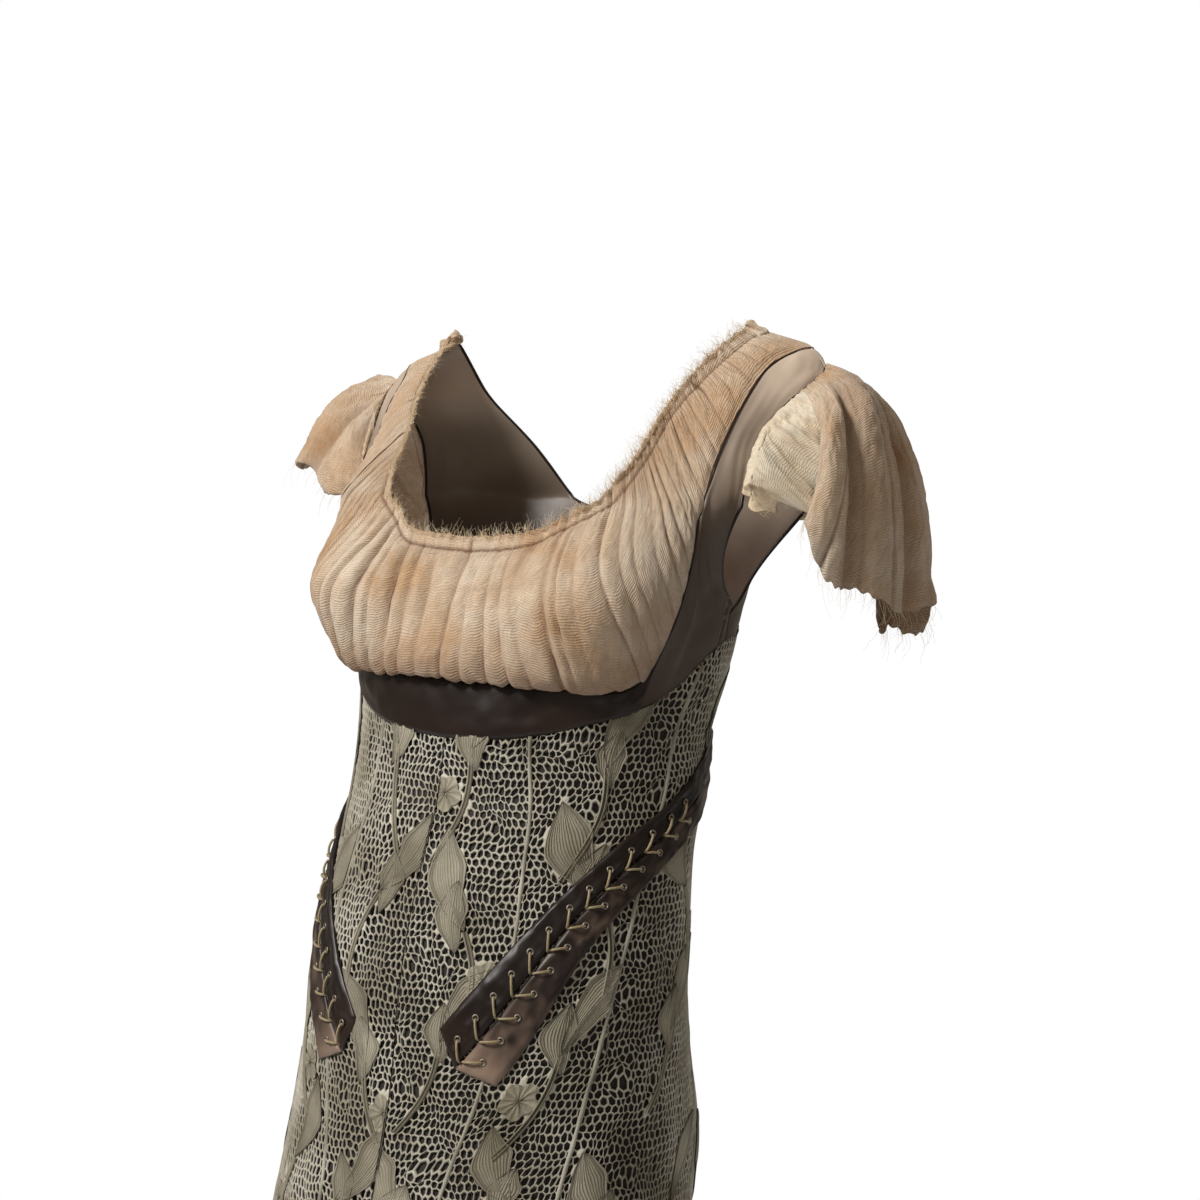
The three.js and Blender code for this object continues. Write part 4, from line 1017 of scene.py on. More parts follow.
STRIP = np.array([
    # neckline place and height, outer edge place and height, share of the puff
    [0, -135.1, 0, -232.1, 1000], [80, -134.1, 150, -233.3, 1000], [173, -130.3, 305, -234.8, 1000],
    [236, -119.9, 440, -236.6, 1000], [287, -109, 570, -235.2, 950], [309, -101.5, 650, -229, 750],
    [326, -94.5, 681, -212, 500], [335, -88, 703, -189, 320], [340, -81.5, 711, -162, 200],
    [345, -75, 672, -139, 100], [352, -66, 612, -118, 40], [361, -57, 595, -96, 0],
    [373, -47, 593, -74, 0], [388, -37, 592, -54, 0], [405, -27, 594, -37, 0], [425, -14, 625, -20, 0],
    [440, -0.4, 750, -0.4, 0],
]) / 1000
STRAP_FROM = 0.62             # the share of the strip where the bust ends and the strap begins
PUFF = np.array([
    # place up the strip, height over the form, tuck upward
    [0, 3.5, 9], [30, 7.2, 3], [80, 10.8, -1], [200, 13, -1], [450, 9.2, 0], [750, 4.5, 0], [920, 2.6, 0],
    [1000, 2.2, 0],
]) / 1000
RAW_EDGE = 0.0088             # width of the raw edge beyond the gathering thread
GAUZE_THICK, GAUZE_LOWEST = 0.0004, 0.0016
FOLD_APART, PLEAT_APART = 0.0155, 0.0041


def gauze(name, pale, warm, deep, crimp=0.60):
    """Crinkled gauze: fine uneven ribs across the cloth, an open weave and some light through it, with painted shade
    in the ribs, in the streaks and where a piece carries shade.
    """
    made, tree, shader = material(name, {"Roughness": 0.88, "Sheen Weight": 0.20})
    cloth = over_cloth(tree)
    wander = texture(tree, "Noise", cloth, {"Scale": 45.0, "Detail": 3.0})
    shifted = mix(tree, cloth, wander.outputs["Color"], 0.008)
    ribs = texture(tree, "Wave", shifted, bands_direction="Y", inputs={
        "Scale": 170.0, "Distortion": 1.5, "Detail": 3.0, "Detail Scale": 3.0, "Detail Roughness": 0.7})
    weave = texture(tree, "Noise", cloth, {"Scale": 1100.0, "Detail": 2.0})
    stretched = node(tree, "ShaderNodeMapping", [("Vector", cloth)], {"Scale": (1.0, 0.14, 1.0)})
    streak = texture(tree, "Noise", stretched.outputs["Vector"],
                     {"Scale": 420.0, "Detail": 4.0, "Roughness": 0.7})
    stains_and_painted_shade = texture(tree, "Noise", over_object(tree), {"Scale": 17.0, "Detail": 4.0, "Roughness": 0.6})
    tone = mix(tree, colour(pale), colour(warm), between(tree, stains_and_painted_shade, 0.34, 0.68))
    # the ribs darken the colour in their hollows: painted shade
    tone = mix(tree, tone, ribs.outputs["Color"], 0.28 * crimp, "MULTIPLY")
    # fibrous streaks: partly a mottle of the cloth, partly painted shade where their relief dips
    tone = mix(tree, tone, between(tree, streak, 0.36, 0.60, 0.70), 0.60, "MULTIPLY")
    # painted shade from the shade the piece carries
    tone = mix(tree, tone, colour(deep), shade_of(tree))
    normal = relief(tree, ribs, crimp, 0.0006)
    normal = relief(tree, streak, 0.55, 0.0010, normal)
    normal = relief(tree, weave, 0.45, 0.0004, normal)
    tree.links.new(tone, shader.inputs["Base Color"])
    tree.links.new(normal, shader.inputs["Normal"])
    let_light_through(tree, shader, tone, 0.26, normal)
    return made


ecru_gauze = gauze("crinkled cotton gauze", "#fbead2", "#ddb488", "#764827")
# a paler copy of the gauze: painted light for the lit left frill
gauze_paled_as_painted_light = gauze("fine pale cotton gauze", "#fff9e8", "#fce4bd", "#c4976a", crimp=0.35)
loose_thread, tree, shader, _, tone = two_tone(
    "raw cotton thread", "#f0dfc0", "#fdf4e2", {"Roughness": 0.9}, {"Scale": 260.0})
# light passes through a loose thread, so it stays pale on its far side
let_light_through(tree, shader, tone, 0.45)


def threads(name, roots, ways, ups, length, seed, radius=0.00013):
    """Loose threads from a raw edge: each leaves its root along its way and curls."""
    rng = np.random.default_rng(seed)
    count, knots = len(roots), 6
    long = (rng.uniform(0.35, 1.0, count) ** 1.3 * length)[:, None, None]
    bend = rng.normal(0, 0.35, (count, 1, 3)) * long
    f = np.linspace(0, 1, knots)[None, :, None]
    ways, ups = ways[:, None, :], ups[:, None, :]
    line = roots[:, None, :] + (ways * f + ups * 0.25 * np.sin(np.pi * f * 0.9)) * long + bend * f**2
    line += rng.normal(0, 0.05, line.shape) * long * f
    ahead = unit(np.gradient(line, axis=1))
    side = unit(np.cross(ahead, ups + 1e-3))
    other = np.cross(ahead, side)
    thin = radius * (1 - 0.6 * f)
    turns = (0, 2.094, 4.189)
    rings = np.stack([line + thin * (side * math.cos(k) + other * math.sin(k)) for k in turns], 2)
    index = np.arange(count * knots * 3).reshape(count, knots, 3)
    nxt = np.roll(index, -1, axis=2)
    quads = np.stack([index[:, :-1], nxt[:, :-1], nxt[:, 1:], index[:, 1:]], -1).reshape(-1, 4)
    ends = np.concatenate([index[:, 0][:, ::-1], index[:, -1]])
    piece = mesh_piece(name, rings.reshape(-1, 3), [quads, ends])
    # three flat sides: smooth shading would darken a thread this thin
    piece.data.shade_flat()
    return put_on(piece, loose_thread, "gauze")


def folded(across, along, seed):
    """Soft folds with sharp creases between them.

    across counts the folds and along goes from 0 to 1 down each. The first
    result is the height, 1 on a ridge, and the second is 1 in a crease.
    """
    rng = np.random.default_rng(seed)
    strength, peak = rng.uniform(0.30, 1.0, 256) ** 0.8, rng.uniform(0.30, 0.70, 256)
    x = across + 0.55 * noise(across * 0.60 + 3, along * 0.6, seed) + 100
    x = x + 0.14 * noise(across * 1.7, along * 2.6, seed + 1)
    k = np.floor(x).astype(int)
    f = x - k
    ridge = np.sin(np.pi * f ** (np.log(0.5) / np.log(peak[k % 256]))) ** 0.62

    def strength_of(fold):
        return strength[fold % 256] * np.clip(0.72 + 0.55 * noise(fold * 3.7, along * 2.2, seed + 2), 0.1, 1)

    deep = strength_of(k) * (1 - f) + strength_of(k + 1) * f
    return 1 - deep * (1 - ridge), deep * np.exp(-(np.minimum(f, 1 - f) / 0.050) ** 2)


def strip_at(w, v):
    """Place, height and puff of the strip, w of the way from the centre front, v up from its outer edge."""
    inner_t, inner_s, outer_t, outer_s, share = by_row(STRIP, w * (len(STRIP) - 1))
    tuck = column(PUFF, 2, v) * np.clip((-0.225 - outer_s) / 0.008, 0, 1)
    s = np.minimum(outer_s + (inner_s - outer_s) * v + tuck, -0.0002)
    return outer_t + (inner_t - outer_t) * v, s, share


# length of the strip along its middle, to space the folds, and its width at each place
strip_w, strip_v = grid(400, 21)
STRIP_W = strip_w[:, 0]
STRIP_RUN = lengths(skin(*strip_at(STRIP_W, 0.45 + 0 * STRIP_W)[:2], 0.006)[:, None])[:, 0, 0]
STRIP_WIDE = lengths(skin(*strip_at(strip_w, strip_v)[:2], 0.006))[:, -1, 1]


def gauze_strip(name, first, last, columns, rows, side, seed):
    """The strip between two places along it, with its raw neckline edge. side is 1, -1 or 0 for both."""
    w, g = grid(columns, rows, (first, last))
    a = np.abs(w)
    wide = np.interp(a, STRIP_W, STRIP_WIDE)
    run = np.interp(a, STRIP_W, STRIP_RUN) * np.sign(w + 1e-9)
    # the stitching line of the gathers, with the last rows of the grid kept for the raw edge beyond it
    stitch, knee = 1 - RAW_EDGE / wide, 0.86
    v = np.where(g < knee, g / knee * stitch, stitch + (g - knee) / (1 - knee) * (1 - stitch))
    t, s, share = strip_at(a, v)
    below = (stitch - v) * wide
    beyond = np.clip((v - stitch) / (1 - stitch), 0, 1)
    inside = (1 - beyond) * step(below, 0.0, 0.010)
    outer_hem = step(v * wide, 0.0, 0.008)
    folds, crease = folded(run / FOLD_APART, 1 - v, seed)
    narrow = np.abs(np.sin(np.pi * (run / PLEAT_APART + 0.8 * noise(run / 0.012, v * 4, seed + 5)))) ** 0.8
    tight = np.exp(-(below / 0.016) ** 2) * (v < stitch)
    groove = np.exp(-(below / 0.0011) ** 2)
    # the folds are deep in the puff, shallow on the strap and drawn flat at the stitching
    depth = 0.35 + 0.65 * step(v, 0.0, 0.16) * share + 0.65 * outer_hem * (1 - share)
    depth = (0.0034 + 0.0052 * share) * depth * (0.30 + 0.70 * inside)
    puff = column(PUFF, 1, v) * (1 + 0.20 * noise(run / 0.030, v * 0, seed + 6)) - 0.0014
    swell = 0.0022 * np.sin(np.pi * np.clip(v / stitch, 0, 1)) ** 0.6
    out = 0.0028 + share * puff + (1 - share) * swell * outer_hem
    out += depth * (folds - 0.60) + 0.0011 * tight * (narrow - 0.5)
    out += 0.0005 * noise(run / 0.0035, v * wide / 0.006, seed + 7) * outer_hem
    ruffle = np.sin(run / 0.0021 + 2.5 * noise(run / 0.009, v * 3, seed + 8)) * beyond
    out += -0.0009 * groove + 0.0026 * beyond + 0.0010 * ruffle
    out = np.maximum(out, GAUZE_LOWEST)
    # the end at the shoulder is sewn down flat on the satin
    out += 0.92 * (0.0030 - out) * step(a, 0.950, 0.992)
    # the foot of the bust is ragged, lower under each fold
    ragged = 0.0048 * (folds - 0.55) + 0.0014 * noise(run / 0.0045, 0 * v, seed + 9)
    s = s - ragged * (1 - step(v, 0.02, 0.14)) * (share > 0.7) * share
    points = skin(t if side else np.sign(w) * t, np.minimum(s, -0.0001), out) * (side or 1, 1, 1)
    # painted shade in the creases, the hollows of the folds, the gathering groove and between the small pleats
    shade = np.clip(0.95 * crease + 0.60 * np.clip(0.55 - folds, 0, 1), 0, 0.80) * outer_hem
    shade += 0.70 * groove + 0.25 * tight * (1 - narrow)
    # the foot of the bust and its sides are darker and browner: painted shade under the puff and on the sides turned
    # from the light, with some tea staining
    stains_and_painted_shade = 0.50 * (1 - step(v, 0.02, 0.40)) + 0.40 * step(a, 0.22, 0.42) * (1 - step(v, 0.35, 0.80))
    shade = np.clip(shade + stains_and_painted_shade * share, 0, 0.9)
    return grid_piece(name, points, shade=shade, thick=GAUZE_THICK, flip=side > 0), points


def fringe_of(name, points, count, seed):
    """Threads that stand out from the last row of a gauze strip."""
    rng = np.random.default_rng(seed)
    pick = rng.integers(2, len(points) - 2, count)
    rise = unit(points[pick, -1] - points[pick, -5])
    along = points[pick + 1, -1] - points[pick - 1, -1]
    away = unit(np.cross(along, rise))
    away *= np.sign((away * (points[pick, -1] - (0, 0.03, points[0, 0, 2]))).sum(1, keepdims=True))
    lean = unit(along) * rng.normal(0, 0.45, (count, 1))
    roots = points[pick, -1] - rise * rng.uniform(0, 0.004, (count, 1))
    return threads(name, roots, rise * 0.9 + away * 0.30 + lean, away, 0.0085, seed + 1)


bust, points = gauze_strip("gathered_gauze_bust", -STRAP_FROM, STRAP_FROM, 360, 64, 0, 51)
fringe = fringe_of("raw_fringe_neckline", points, 1500, 61)
put_on(bust, ecru_gauze, "gauze", "gauze_bust")
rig.sheet(bust, held="gathered", with_pieces=[fringe], **cut_of(points),
         rests_on=["underbust_band", "satin_side_front_left", "satin_side_front_right"])

# ---------------------------------------------------------------- shoulder straps
# Each strap is the end of the same strip, ruched crosswise over the shoulder,
# with a knot of spare gauze caught at the top.

KNOT_HALF, KNOT_DEEP, KNOT_HIGH, KNOT_TILT = 0.0098, 0.0060, 0.0058, 0.62
KNOT_AT = (0.455, -0.004, 0.0066)
# the left knot is pulled smaller and sits lower
KNOT_SIZE = {"left": (0.84, (0.0030, 0.0010, -0.0030)), "right": (1.0, (0, 0, 0))}

for hand, way in HANDS:
    strap, points = gauze_strip("ruched_gauze_strap_" + hand, STRAP_FROM, 1.0, 180, 46, way, 51)
    fringe = fringe_of("raw_fringe_of_strap_" + hand, points, 520, 69 + way)
    put_on(strap, ecru_gauze, "gauze", "gauze_strap_" + hand)
    # the knot: a crushed scrap of the gauze, wrapped tight and frayed at its ends
    p, q = grid(72, 30, (0, 2 * np.pi), (-1, 1))
    r = np.sqrt(np.clip(1 - q**6, 0, 1)) * (0.62 + 0.38 * np.abs(q) ** 1.4)
    twist = p + 1.1 * q
    lump = 1 + 0.22 * np.cos(3 * twist + way) + 0.13 * np.cos(7 * twist + 2) * np.abs(q)
    lump += 0.20 * noise(3 * np.cos(p) + 9, 3 * np.sin(p) + 2 * q + 9, 70 + way)
    x, z = KNOT_HALF * q, KNOT_HIGH * r * np.sin(p) * lump
    body = np.stack([x * math.cos(KNOT_TILT) + z * math.sin(KNOT_TILT), KNOT_DEEP * r * np.cos(p) * lump,
                     z * math.cos(KNOT_TILT) - x * math.sin(KNOT_TILT)], -1)
    size, moved = KNOT_SIZE[hand]
    body = (body * size + skin(*KNOT_AT) + moved) * (way, 1, 1)
    # painted shade in the hollows of the knot
    knot = grid_piece("gauze_knot_" + hand, body, uv=np.stack([q * 0.012, p * 0.006], -1),
                      shade=np.clip(2 * np.clip(0.9 - lump, 0, 1), 0, 0.7), flip=way < 0)
    put_on(knot, ecru_gauze, "gauze", "shoulder_roll_" + hand)
    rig.sheet(strap, held="gathered", rests_on=["satin_side_front_" + hand], with_pieces=[fringe, knot],
             **cut_of(points))

# ---------------------------------------------------------------- flutter sleeves
# Wide caps of gauze gathered into the armhole, open underneath, with a raw hem
# that hangs in threads. The front edge rolls under in a soft fold, and a frill
# is tucked in behind it, down the front of the armhole. The left frill is cut
# from a paler copy of the gauze, painted light where it catches the light.

SLEEVES = {
    # place on the armhole, the point it turns over and the hem, from front to back
    "left": np.array([
        [812, -37, 238, -74, -59, 209, -71, -114], [835, -31, 252, -78, -54, 216, -69, -129],
        [860, -23, 259, -74, -40, 226, -59, -155], [888, -15, 261, -61, -32, 235, -43, -167],
        [912, -9, 263, -41, -26, 243, -23, -174], [930, -4, 264, -17, -27, 247, 0, -174],
        [945, -2, 259, 12, -38, 249, 25, -179], [1110, -17, 246, 52, -49, 223, 58, -192],
        [1190, -46, 224, 83, -67, 200, 76, -201], [1228, -76, 196, 100, -96, 182, 83, -200],
        [1235, -120, 169, 103, -125, 180, 80, -167],
    ]) / 1000,
    "right": np.array([
        [800, -40, 156, -105, -73, 162, -104, -107], [815, -36, 175, -99, -69, 183, -91, -106],
        [835, -30, 194, -86, -62, 206, -81, -100], [860, -23, 214, -67, -49, 242, -64, -86],
        [885, -16, 223, -43, -20, 254, -43, -90], [915, -8, 234, -17, 4, 261, -17, -101],
        [945, -2, 237, 8, 5, 261, 13, -110], [1110, -17, 249, 37, -47, 230, 54, -146],
        [1190, -46, 232, 58, -69, 199, 79, -190], [1228, -76, 216, 73, -99, 186, 86, -194],
        [1235, -120, 197, 74, -138, 181, 80, -176],
    ]) / 1000,
}
FRILLS = {
    "left": np.array([
        [822, -35, 202, -57, -28, 225, -44, -57], [788, -44.5, 198, -69, -38, 230, -49, -78],
        [756, -56, 192, -89, -46, 227, -56, -100], [738, -70, 182, -109, -53, 220, -66, -114],
        [735, -88, 178, -111, -81, 204, -84, -114], [739, -104, 178, -103, -105, 190, -97, -114],
    ]) / 1000,
    "right": np.array([
        [800, -40, 165, -76, -45, 204, -60, -70], [770, -51, 156, -81, -62, 203, -69, -81],
        [742, -64, 143, -91, -74, 203, -76, -92], [733, -78, 129, -103, -89, 203, -79, -98],
        [736, -93, 131, -113, -101, 190, -82, -104], [739, -105, 147, -110, -109, 177, -85, -109],
    ]) / 1000,
}


def hanging(table, u, v, lift):
    """Cloth from a place on the armhole (v 0) over its turning point to the hem (v 1)."""
    c = by_row(table, u * (len(table) - 1))
    foot, turn, hem = skin(c[0], c[1], lift), np.stack(c[2:5], -1), np.stack(c[5:8], -1)
    w = v[..., None]
    return foot * (1 - w) ** 2 + turn * 2 * w * (1 - w) + hem * w**2


def normals_of(points):
    return unit(np.cross(np.gradient(points, axis=1), np.gradient(points, axis=0)))


def crest(at, middle, wide):
    return np.exp(-((at - middle) / wide) ** 2)


def with_raw_hem(names, hand, under, cloth, points, normal, shade, rng, pull, droop, **hem):
    """Put on a sleeve or a frill, with the loose threads of its raw hem."""
    name, solid, hem_name = (each + hand for each in names)
    way = dict(HANDS)[hand]
    points, normal = points * (way, 1, 1), normal * (way, 1, 1)
    piece = grid_piece(name, points, shade=shade, thick=GAUZE_THICK, flip=way > 0)
    pick = rng.integers(2, len(points) - 2, hem.pop("count"))
    down = unit(points[pick, -1] - points[pick, -5]) * pull - (0, 0, droop)
    loose = threads(hem_name, points[pick, -1], down, normal[pick, -1], **hem)
    put_on(piece, cloth, "gauze", solid)
    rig.sheet(piece, held="gathered", rests_on=[each + hand for each in under], with_pieces=[loose],
             **cut_of(points))


# the names of a piece, of the solid it takes the place of and of its loose threads
SLEEVE_NAMES = ("flutter_sleeve_", "sleeve_", "raw_hem_of_sleeve_")
FRILL_NAMES = ("sleeve_frill_cloth_", "sleeve_frill_", "raw_hem_of_frill_")
SLEEVE_LIFT = 0.0037
# for each hand: seed, depth of the painted shade behind the front fold, hem threads and cloth of the frill (paler on
# the left, as painted light)
SLEEVE_OF = {"left": (5, 0.24, 90, gauze_paled_as_painted_light), "right": (41, 0.04, 36, ecru_gauze)}

for hand, way in HANDS:
    seed, front_shade, thread_count, frill_cloth = SLEEVE_OF[hand]
    rng = np.random.default_rng(seed)
    u, v = grid(210, 52)
    ragged = 1 + (0.006 * noise(u * 60, v * 0, seed + 9) + 0.034 * noise(u * 13, v * 0, seed + 10)) * v**4
    base = hanging(SLEEVES[hand], u, np.clip(v * ragged, 0, 1.05), SLEEVE_LIFT)
    normal = normals_of(base)
    head = np.exp(-(v / 0.13) ** 2)
    soft, crease = folded(u * 8.5 + 0.8 * v * (1 - u) + seed, v * 0.8, seed + 30)
    tight, _ = folded(u * 34 + 1.5 * v + seed, v * 3, seed + 31)
    roll = np.clip(1 - u / 0.075, 0, 1) ** 2 * step(v, 0.06, 0.40)
    # three broad folds with a deep valley behind each
    front = 0.0060 * crest(u, 0.11, 0.075) + 0.0045 * crest(u, 0.39, 0.060) + 0.0035 * crest(u, 0.68, 0.070)
    valley = 0.0080 * crest(u, 0.265, 0.034) + 0.0060 * crest(u, 0.52, 0.030) + 0.0055 * crest(u, 0.83, 0.035)
    shift = (0.0050 * (soft - 0.62) + front - valley) * step(v, 0.02, 0.45)
    shift += 0.0026 * (tight - 0.6) * head - 0.0110 * roll
    shift += 0.0007 * noise(u * 50, v * 26, seed + 3) + 0.0004 * noise(u * 120, v * 60, seed + 4)
    points = base + normal * shift[..., None]
    if hand == "left":
        # one corner of the hem flicks out
        flick = crest(u, 0.60, 0.030) * step(v, 0.91, 1.0)
        points = points + flick[..., None] * (0.0040, 0.0030, -0.0010)
    # painted shade in the creases and valleys, behind the front fold, in the hollows of the soft folds and between the
    # gathers at the head
    shade = (0.55 * crease + 45 * valley + front_shade * step(u, 0.20, 0.34)) * step(v, 0.02, 0.2)
    shade += 0.35 * np.clip(0.62 - soft, 0, 1) + 0.45 * head * np.clip(0.8 - tight, 0, 1)
    with_raw_hem(SLEEVE_NAMES, hand, ("satin_side_front_", "satin_back_"), ecru_gauze, points, normal,
                 np.clip(shade, 0, 0.75), rng, pull=0.7, droop=0.5, count=thread_count, length=0.015,
                 seed=seed + 1, radius=0.0001)

    u, v = grid(150, 36)
    ragged = 1 + (0.10 * noise(u * 8, v * 0, seed + 20) + 0.05 * noise(u * 24, v * 0, seed + 21)) * v**3
    base = hanging(FRILLS[hand], u, v * ragged, SLEEVE_LIFT)
    normal = normals_of(base)
    soft, crease = folded(u * 3.1 + 0.9 * v + seed, v * 0.9, seed + 33)
    small, _ = folded(u * 9 + 0.9 * v + seed, v * 1.6, seed + 34)
    shift = (0.0125 * (soft - 0.45) + 0.0026 * (small - 0.6)) * step(v, 0.0, 0.30)
    shift += 0.0040 * v**2 * np.sin(u * 19 + seed) + 0.0005 * noise(u * 40, v * 12, seed + 23)
    # painted shade in the creases and the hollows of the soft folds
    shade = np.clip(0.55 * crease + 0.30 * np.clip(0.6 - soft, 0, 1), 0, 0.7)
    points = base + normal * shift[..., None]
    with_raw_hem(FRILL_NAMES, hand, ("satin_side_front_",), frill_cloth, points, normal, shade, rng, pull=0.8,
                 droop=0.0, count=60, length=0.006, seed=seed + 2)

# ---------------------------------------------------------------- laced strips
# Two bands of satin lie edge to edge down each side of the skirt, the upper one
# dark and the lower one a pinkish brown. Painted shade darkens each along its
# length, so the pinkish brown shows mainly as a painted highlight at the pointed
# end and on crush marks. They are folded and topstitched near the edge, with a
# row of eyelets in each.

LACED_BAND = np.array([
    # place and height of the line between the two strips
    [220, -474.9], [359, -439.1], [492, -407], [615, -381.3], [813, -349.4], [1139, -316.1], [1400, -290],
]) / 1000
STRIP_OUT, EYELET_ROW, EYELET_FIRST, EYELET_PITCH, EYELET_COUNT = 0.0052, 0.0112, 0.0160, 0.0185, 13
STRIP_GAP = 0.0006                      # from the line to the edge of each strip
HEM_FOLD, HEM_STITCH = 0.0032, 0.0022   # width of the folded hem and of the stitching line in it
RING_RADIUS, RING_WIRE = 0.0019, 0.0007

path_t, path_s = by_row(LACED_BAND, np.linspace(0, len(LACED_BAND) - 1, 600))
path_length = lengths(skin(path_t, path_s, STRIP_OUT)[:, None])[:, 0, 0]
BAND_LENGTH = path_length[-1]


def on_line(along):
    """Place and height on the line between the strips, at a distance along it."""
    along = np.clip(along, 0, BAND_LENGTH)
    return np.interp(along, path_length, path_t), np.interp(along, path_length, path_s)


def on_band(along, off):
    """The place on the form at a distance along the band and off its centre line."""
    along = np.clip(along, 0, BAND_LENGTH)
    t, s = on_line(along)
    (t1, s1), (t0, s0) = on_line(along + 0.004), on_line(along - 0.004)
    per_turn = np.linalg.norm(form(t + 0.01, s) - form(t - 0.01, s), axis=-1) / 0.02
    run_t, run_s = (t1 - t0) * per_turn, s1 - s0
    size = np.hypot(run_t, run_s)
    # towards the side seam the strips are cut narrower and lie higher
    share = along / BAND_LENGTH
    narrower = step(share, 0.05, 0.45)
    off = off * (1 - 0.31 * narrower) + 0.0077 * narrower + 0.0060 * step(share, 0.50, 0.95)
    return t - run_s / size * off / per_turn, s + run_t / size * off


def band_point(along, off, out):
    return skin(*on_band(np.asarray(along, float), np.asarray(off, float)), out)


def eyelets_of(name, sign, way):
    """A row of rolled metal rings with dark barrels, in one mesh."""
    around, across = np.meshgrid(*(2 * np.pi * np.arange(n) / n for n in (18, 8)), indexing="ij")
    index = np.arange(around.size).reshape(around.shape)
    nxt = np.roll(index, -1, 0)
    quads = np.stack([index, nxt, np.roll(nxt, -1, 1), np.roll(index, -1, 1)], -1).reshape(-1, 4)
    radius = (RING_RADIUS + RING_WIRE * np.cos(across))[..., None]
    round_x, round_y = radius * np.cos(around)[..., None], radius * np.sin(around)[..., None]
    rings = []
    for at in EYELETS:
        up = outward(*on_band(at, sign * EYELET_ROW))
        side = unit(np.cross((0, 0, 1), up))
        ring = side * round_x + np.cross(up, side) * round_y + up * (RING_WIRE * np.sin(across))[..., None]
        middle = band_point(at, sign * EYELET_ROW, STRIP_OUT + 0.0003)
        rings.append((middle + ring).reshape(-1, 3) * (way, 1, 1))
    faces = np.concatenate([quads + index.size * k for k in range(EYELET_COUNT)])
    return mesh_piece(name, np.concatenate(rings), [faces[:, ::-1] if way < 0 else faces])


# its last colour is the painted shade over the lower strips
mauve_satin = satin("pinkish brown satin", "#5c4a40", "#8c7666", 0.42, "#21150f")
EYELETS = EYELET_FIRST + EYELET_PITCH * np.arange(EYELET_COUNT)
eyelet_metal, tree, shader, wear, _ = two_tone(
    "aged nickel eyelet", "#6f675c", "#a39b8d", {"Metallic": 1.0}, {"Scale": 420.0, "Detail": 3.0})
tree.links.new(between(tree, wear, 0.0, 1.0, 0.42, 0.62), shader.inputs["Roughness"])

STRIPS = (
    # name, side of the line, width, slant of the pointed end, cloth, slot and seed
    ("upper", 1, 0.0250, 0.012, dark_satin, "dark_satin", 81),
    ("lower", -1, 0.0280, 0.010, mauve_satin, "mauve_satin", 82),
)
for hand, way in HANDS:
    for part, sign, wide, tip, cloth, slot, seed in STRIPS:
        u, v = grid(220, 19)
        off = sign * (STRIP_GAP + (wide - STRIP_GAP) * v)
        along = tip * v + (BAND_LENGTH - tip * v) * u
        hem_side = np.minimum(np.minimum(v, 1 - v) * wide, np.minimum(u * BAND_LENGTH, 1))
        near = np.min(np.abs(along[..., None] - EYELETS), axis=-1)
        dip = np.exp(-((near / 0.0062) ** 2 + ((np.abs(off) - EYELET_ROW) / 0.0062) ** 2))
        crush = noise(along * 75 + 3, off * 130 + way + 9, seed)
        crush = crush + 0.5 * noise(along * 180, off * 260 + 20, 83)
        out = STRIP_OUT - 0.0008 + 0.0017 * step(hem_side, 0, HEM_FOLD) - 0.0010 * dip
        out += 0.0008 * crush * step(hem_side, 0, 0.003) - 0.0005 * crest(hem_side, HEM_STITCH, 0.0005)
        points = band_point(along, off, out) * (way, 1, 1)
        # painted shade along the strip, eased on the crush marks as painted highlights and gone at the pointed end,
        # which keeps a painted highlight
        painted_shade = np.clip(step(along, 0.006, 0.045) * (0.85 + 0.35 * crush), 0, 1)
        strip = grid_piece(f"satin_strip_{part}_{hand}", points, shade=painted_shade, thick=0.0014,
                           flip=way * sign < 0)
        put_on(strip, cloth, slot, f"laced_strip_{part}_{hand}")
        eyelets = put_on(eyelets_of(f"eyelets_{part}_{hand}", sign, way), eyelet_metal, "metal")
        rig.sheet(strip, held="laid", rests_on=[f"lace_front_{hand}", f"lace_side_{hand}"],
                 with_pieces=[eyelets], **cut_of(points))

# ---------------------------------------------------------------- lacing
# A thin twisted cord, bronze-gold and slightly shiny. From each eyelet a short
# length runs to the gap between the strips and goes under.

CORD_RADIUS = 0.00085
CORD_BACK = {1: 0.0108, -1: 0.0100}     # how far back a cord slants on the upper and the lower strip
cord_thread, tree, shader, ply, _ = two_tone(
    "twisted bronze cord", "#6b5c3e", "#b3a27a", {"Roughness": 0.45, "Sheen Weight": 0.2},
    {"Scale": 700.0, "Detail": 2.0})
tree.links.new(relief(tree, ply, 0.4, 0.0003), shader.inputs["Normal"])


def joined(name, pieces):
    """One piece from several."""
    bpy.ops.object.select_all(action="DESELECT")
    for made in pieces:
        made.select_set(True)
    bpy.context.view_layer.objects.active = pieces[0]
    bpy.ops.object.join()
    pieces[0].name = name
    return pieces[0]


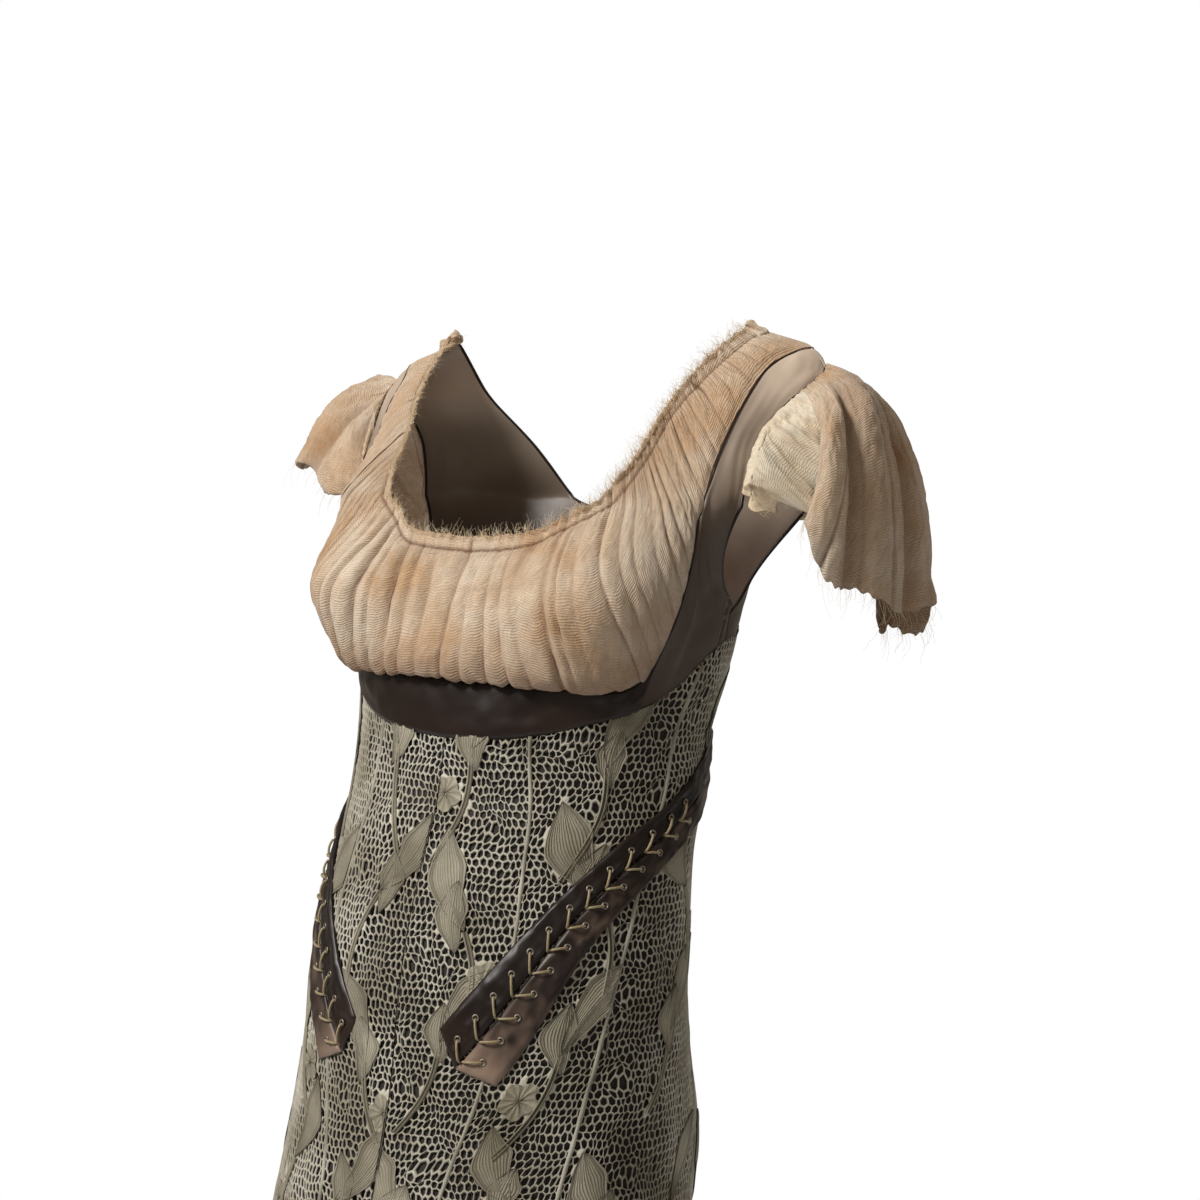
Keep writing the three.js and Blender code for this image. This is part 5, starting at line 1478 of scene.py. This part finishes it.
for hand, way in HANDS:
    rng = np.random.default_rng(90 + way)
    f = np.linspace(0, 1, 15)
    # up out of the eyelet, over to the gap and down again
    lift = STRIP_OUT + 0.0012 + 0.0016 * np.sin(np.pi * f)
    lift = lift - 0.0042 * np.clip(1 - f / 0.10, 0, 1) - 0.0046 * np.clip((f - 0.90) / 0.10, 0, 1)
    tubes = []
    for at in EYELETS:
        for sign in (1, -1):
            gap_at = at - CORD_BACK[sign] + rng.uniform(-0.0008, 0.0008)
            off = sign * EYELET_ROW * (1 - f) + sign * 0.0003
            line = band_point(at + (gap_at - at) * f, off, lift) * (way, 1, 1)
            tubes.append(tube_along("cord", line, CORD_RADIUS))
    put_on(joined("lacing_" + hand, tubes), cord_thread, "cord", "lacing_cord_" + hand)

# ---------------------------------------------------------------- zip
# A fine zip up the centre back: two woven tapes with small metal teeth, and the
# slider and its pull, which are cast metal.

TOOTH, TOOTH_PITCH = (0.0030, 0.0012, 0.0012), 0.0024
tape, *_ = two_tone("woven zip tape", "#231a15", "#3a2c24", {"Roughness": 0.85},
                    {"Scale": 900.0, "Distortion": 0.5}, kind="Wave", bands_direction="DIAGONAL")

u, v = grid(9, 90, (-1, 1), (ZIP_END + 0.001, -0.121))
points = skin(2 + u * (ZIP_HALF - 0.0004), v, 0.0025 + 0.0004 * np.abs(u))
tapes = put_on(grid_piece("zip_tape_cloth", points, thick=0.0008), tape, "zip_tape", "zip_strip")
cubes = []
for k, z in enumerate(np.arange(ZIP_END + 0.004, -0.134, TOOTH_PITCH)):
    x = 0.0006 * (1 if k % 2 else -1)
    y = float(skin(np.array(2.0), np.array(z), 0.0030)[1])
    bpy.ops.mesh.primitive_cube_add(size=1, location=(x, y, z))
    bpy.context.object.scale = TOOTH
    cubes.append(bpy.context.object)
teeth = joined("zip_teeth", cubes)
bpy.ops.object.transform_apply(location=True, rotation=True, scale=True)
put_on(teeth, eyelet_metal, "metal")
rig.sheet(tapes, held="stretched", rests_on=["satin_back_left", "satin_back_right"], with_pieces=[teeth],
         **cut_of(points))
for name in ("zip_slider", "zip_pull"):
    part = frame["nodes"][name]
    part.data.materials.clear()
    part.data.materials.append(eyelet_metal)

with open("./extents.json", "w") as file:
    json.dump({"cad": np.array(cad_box).tolist(), "visual": np.array(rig.bounds()).tolist()}, file)
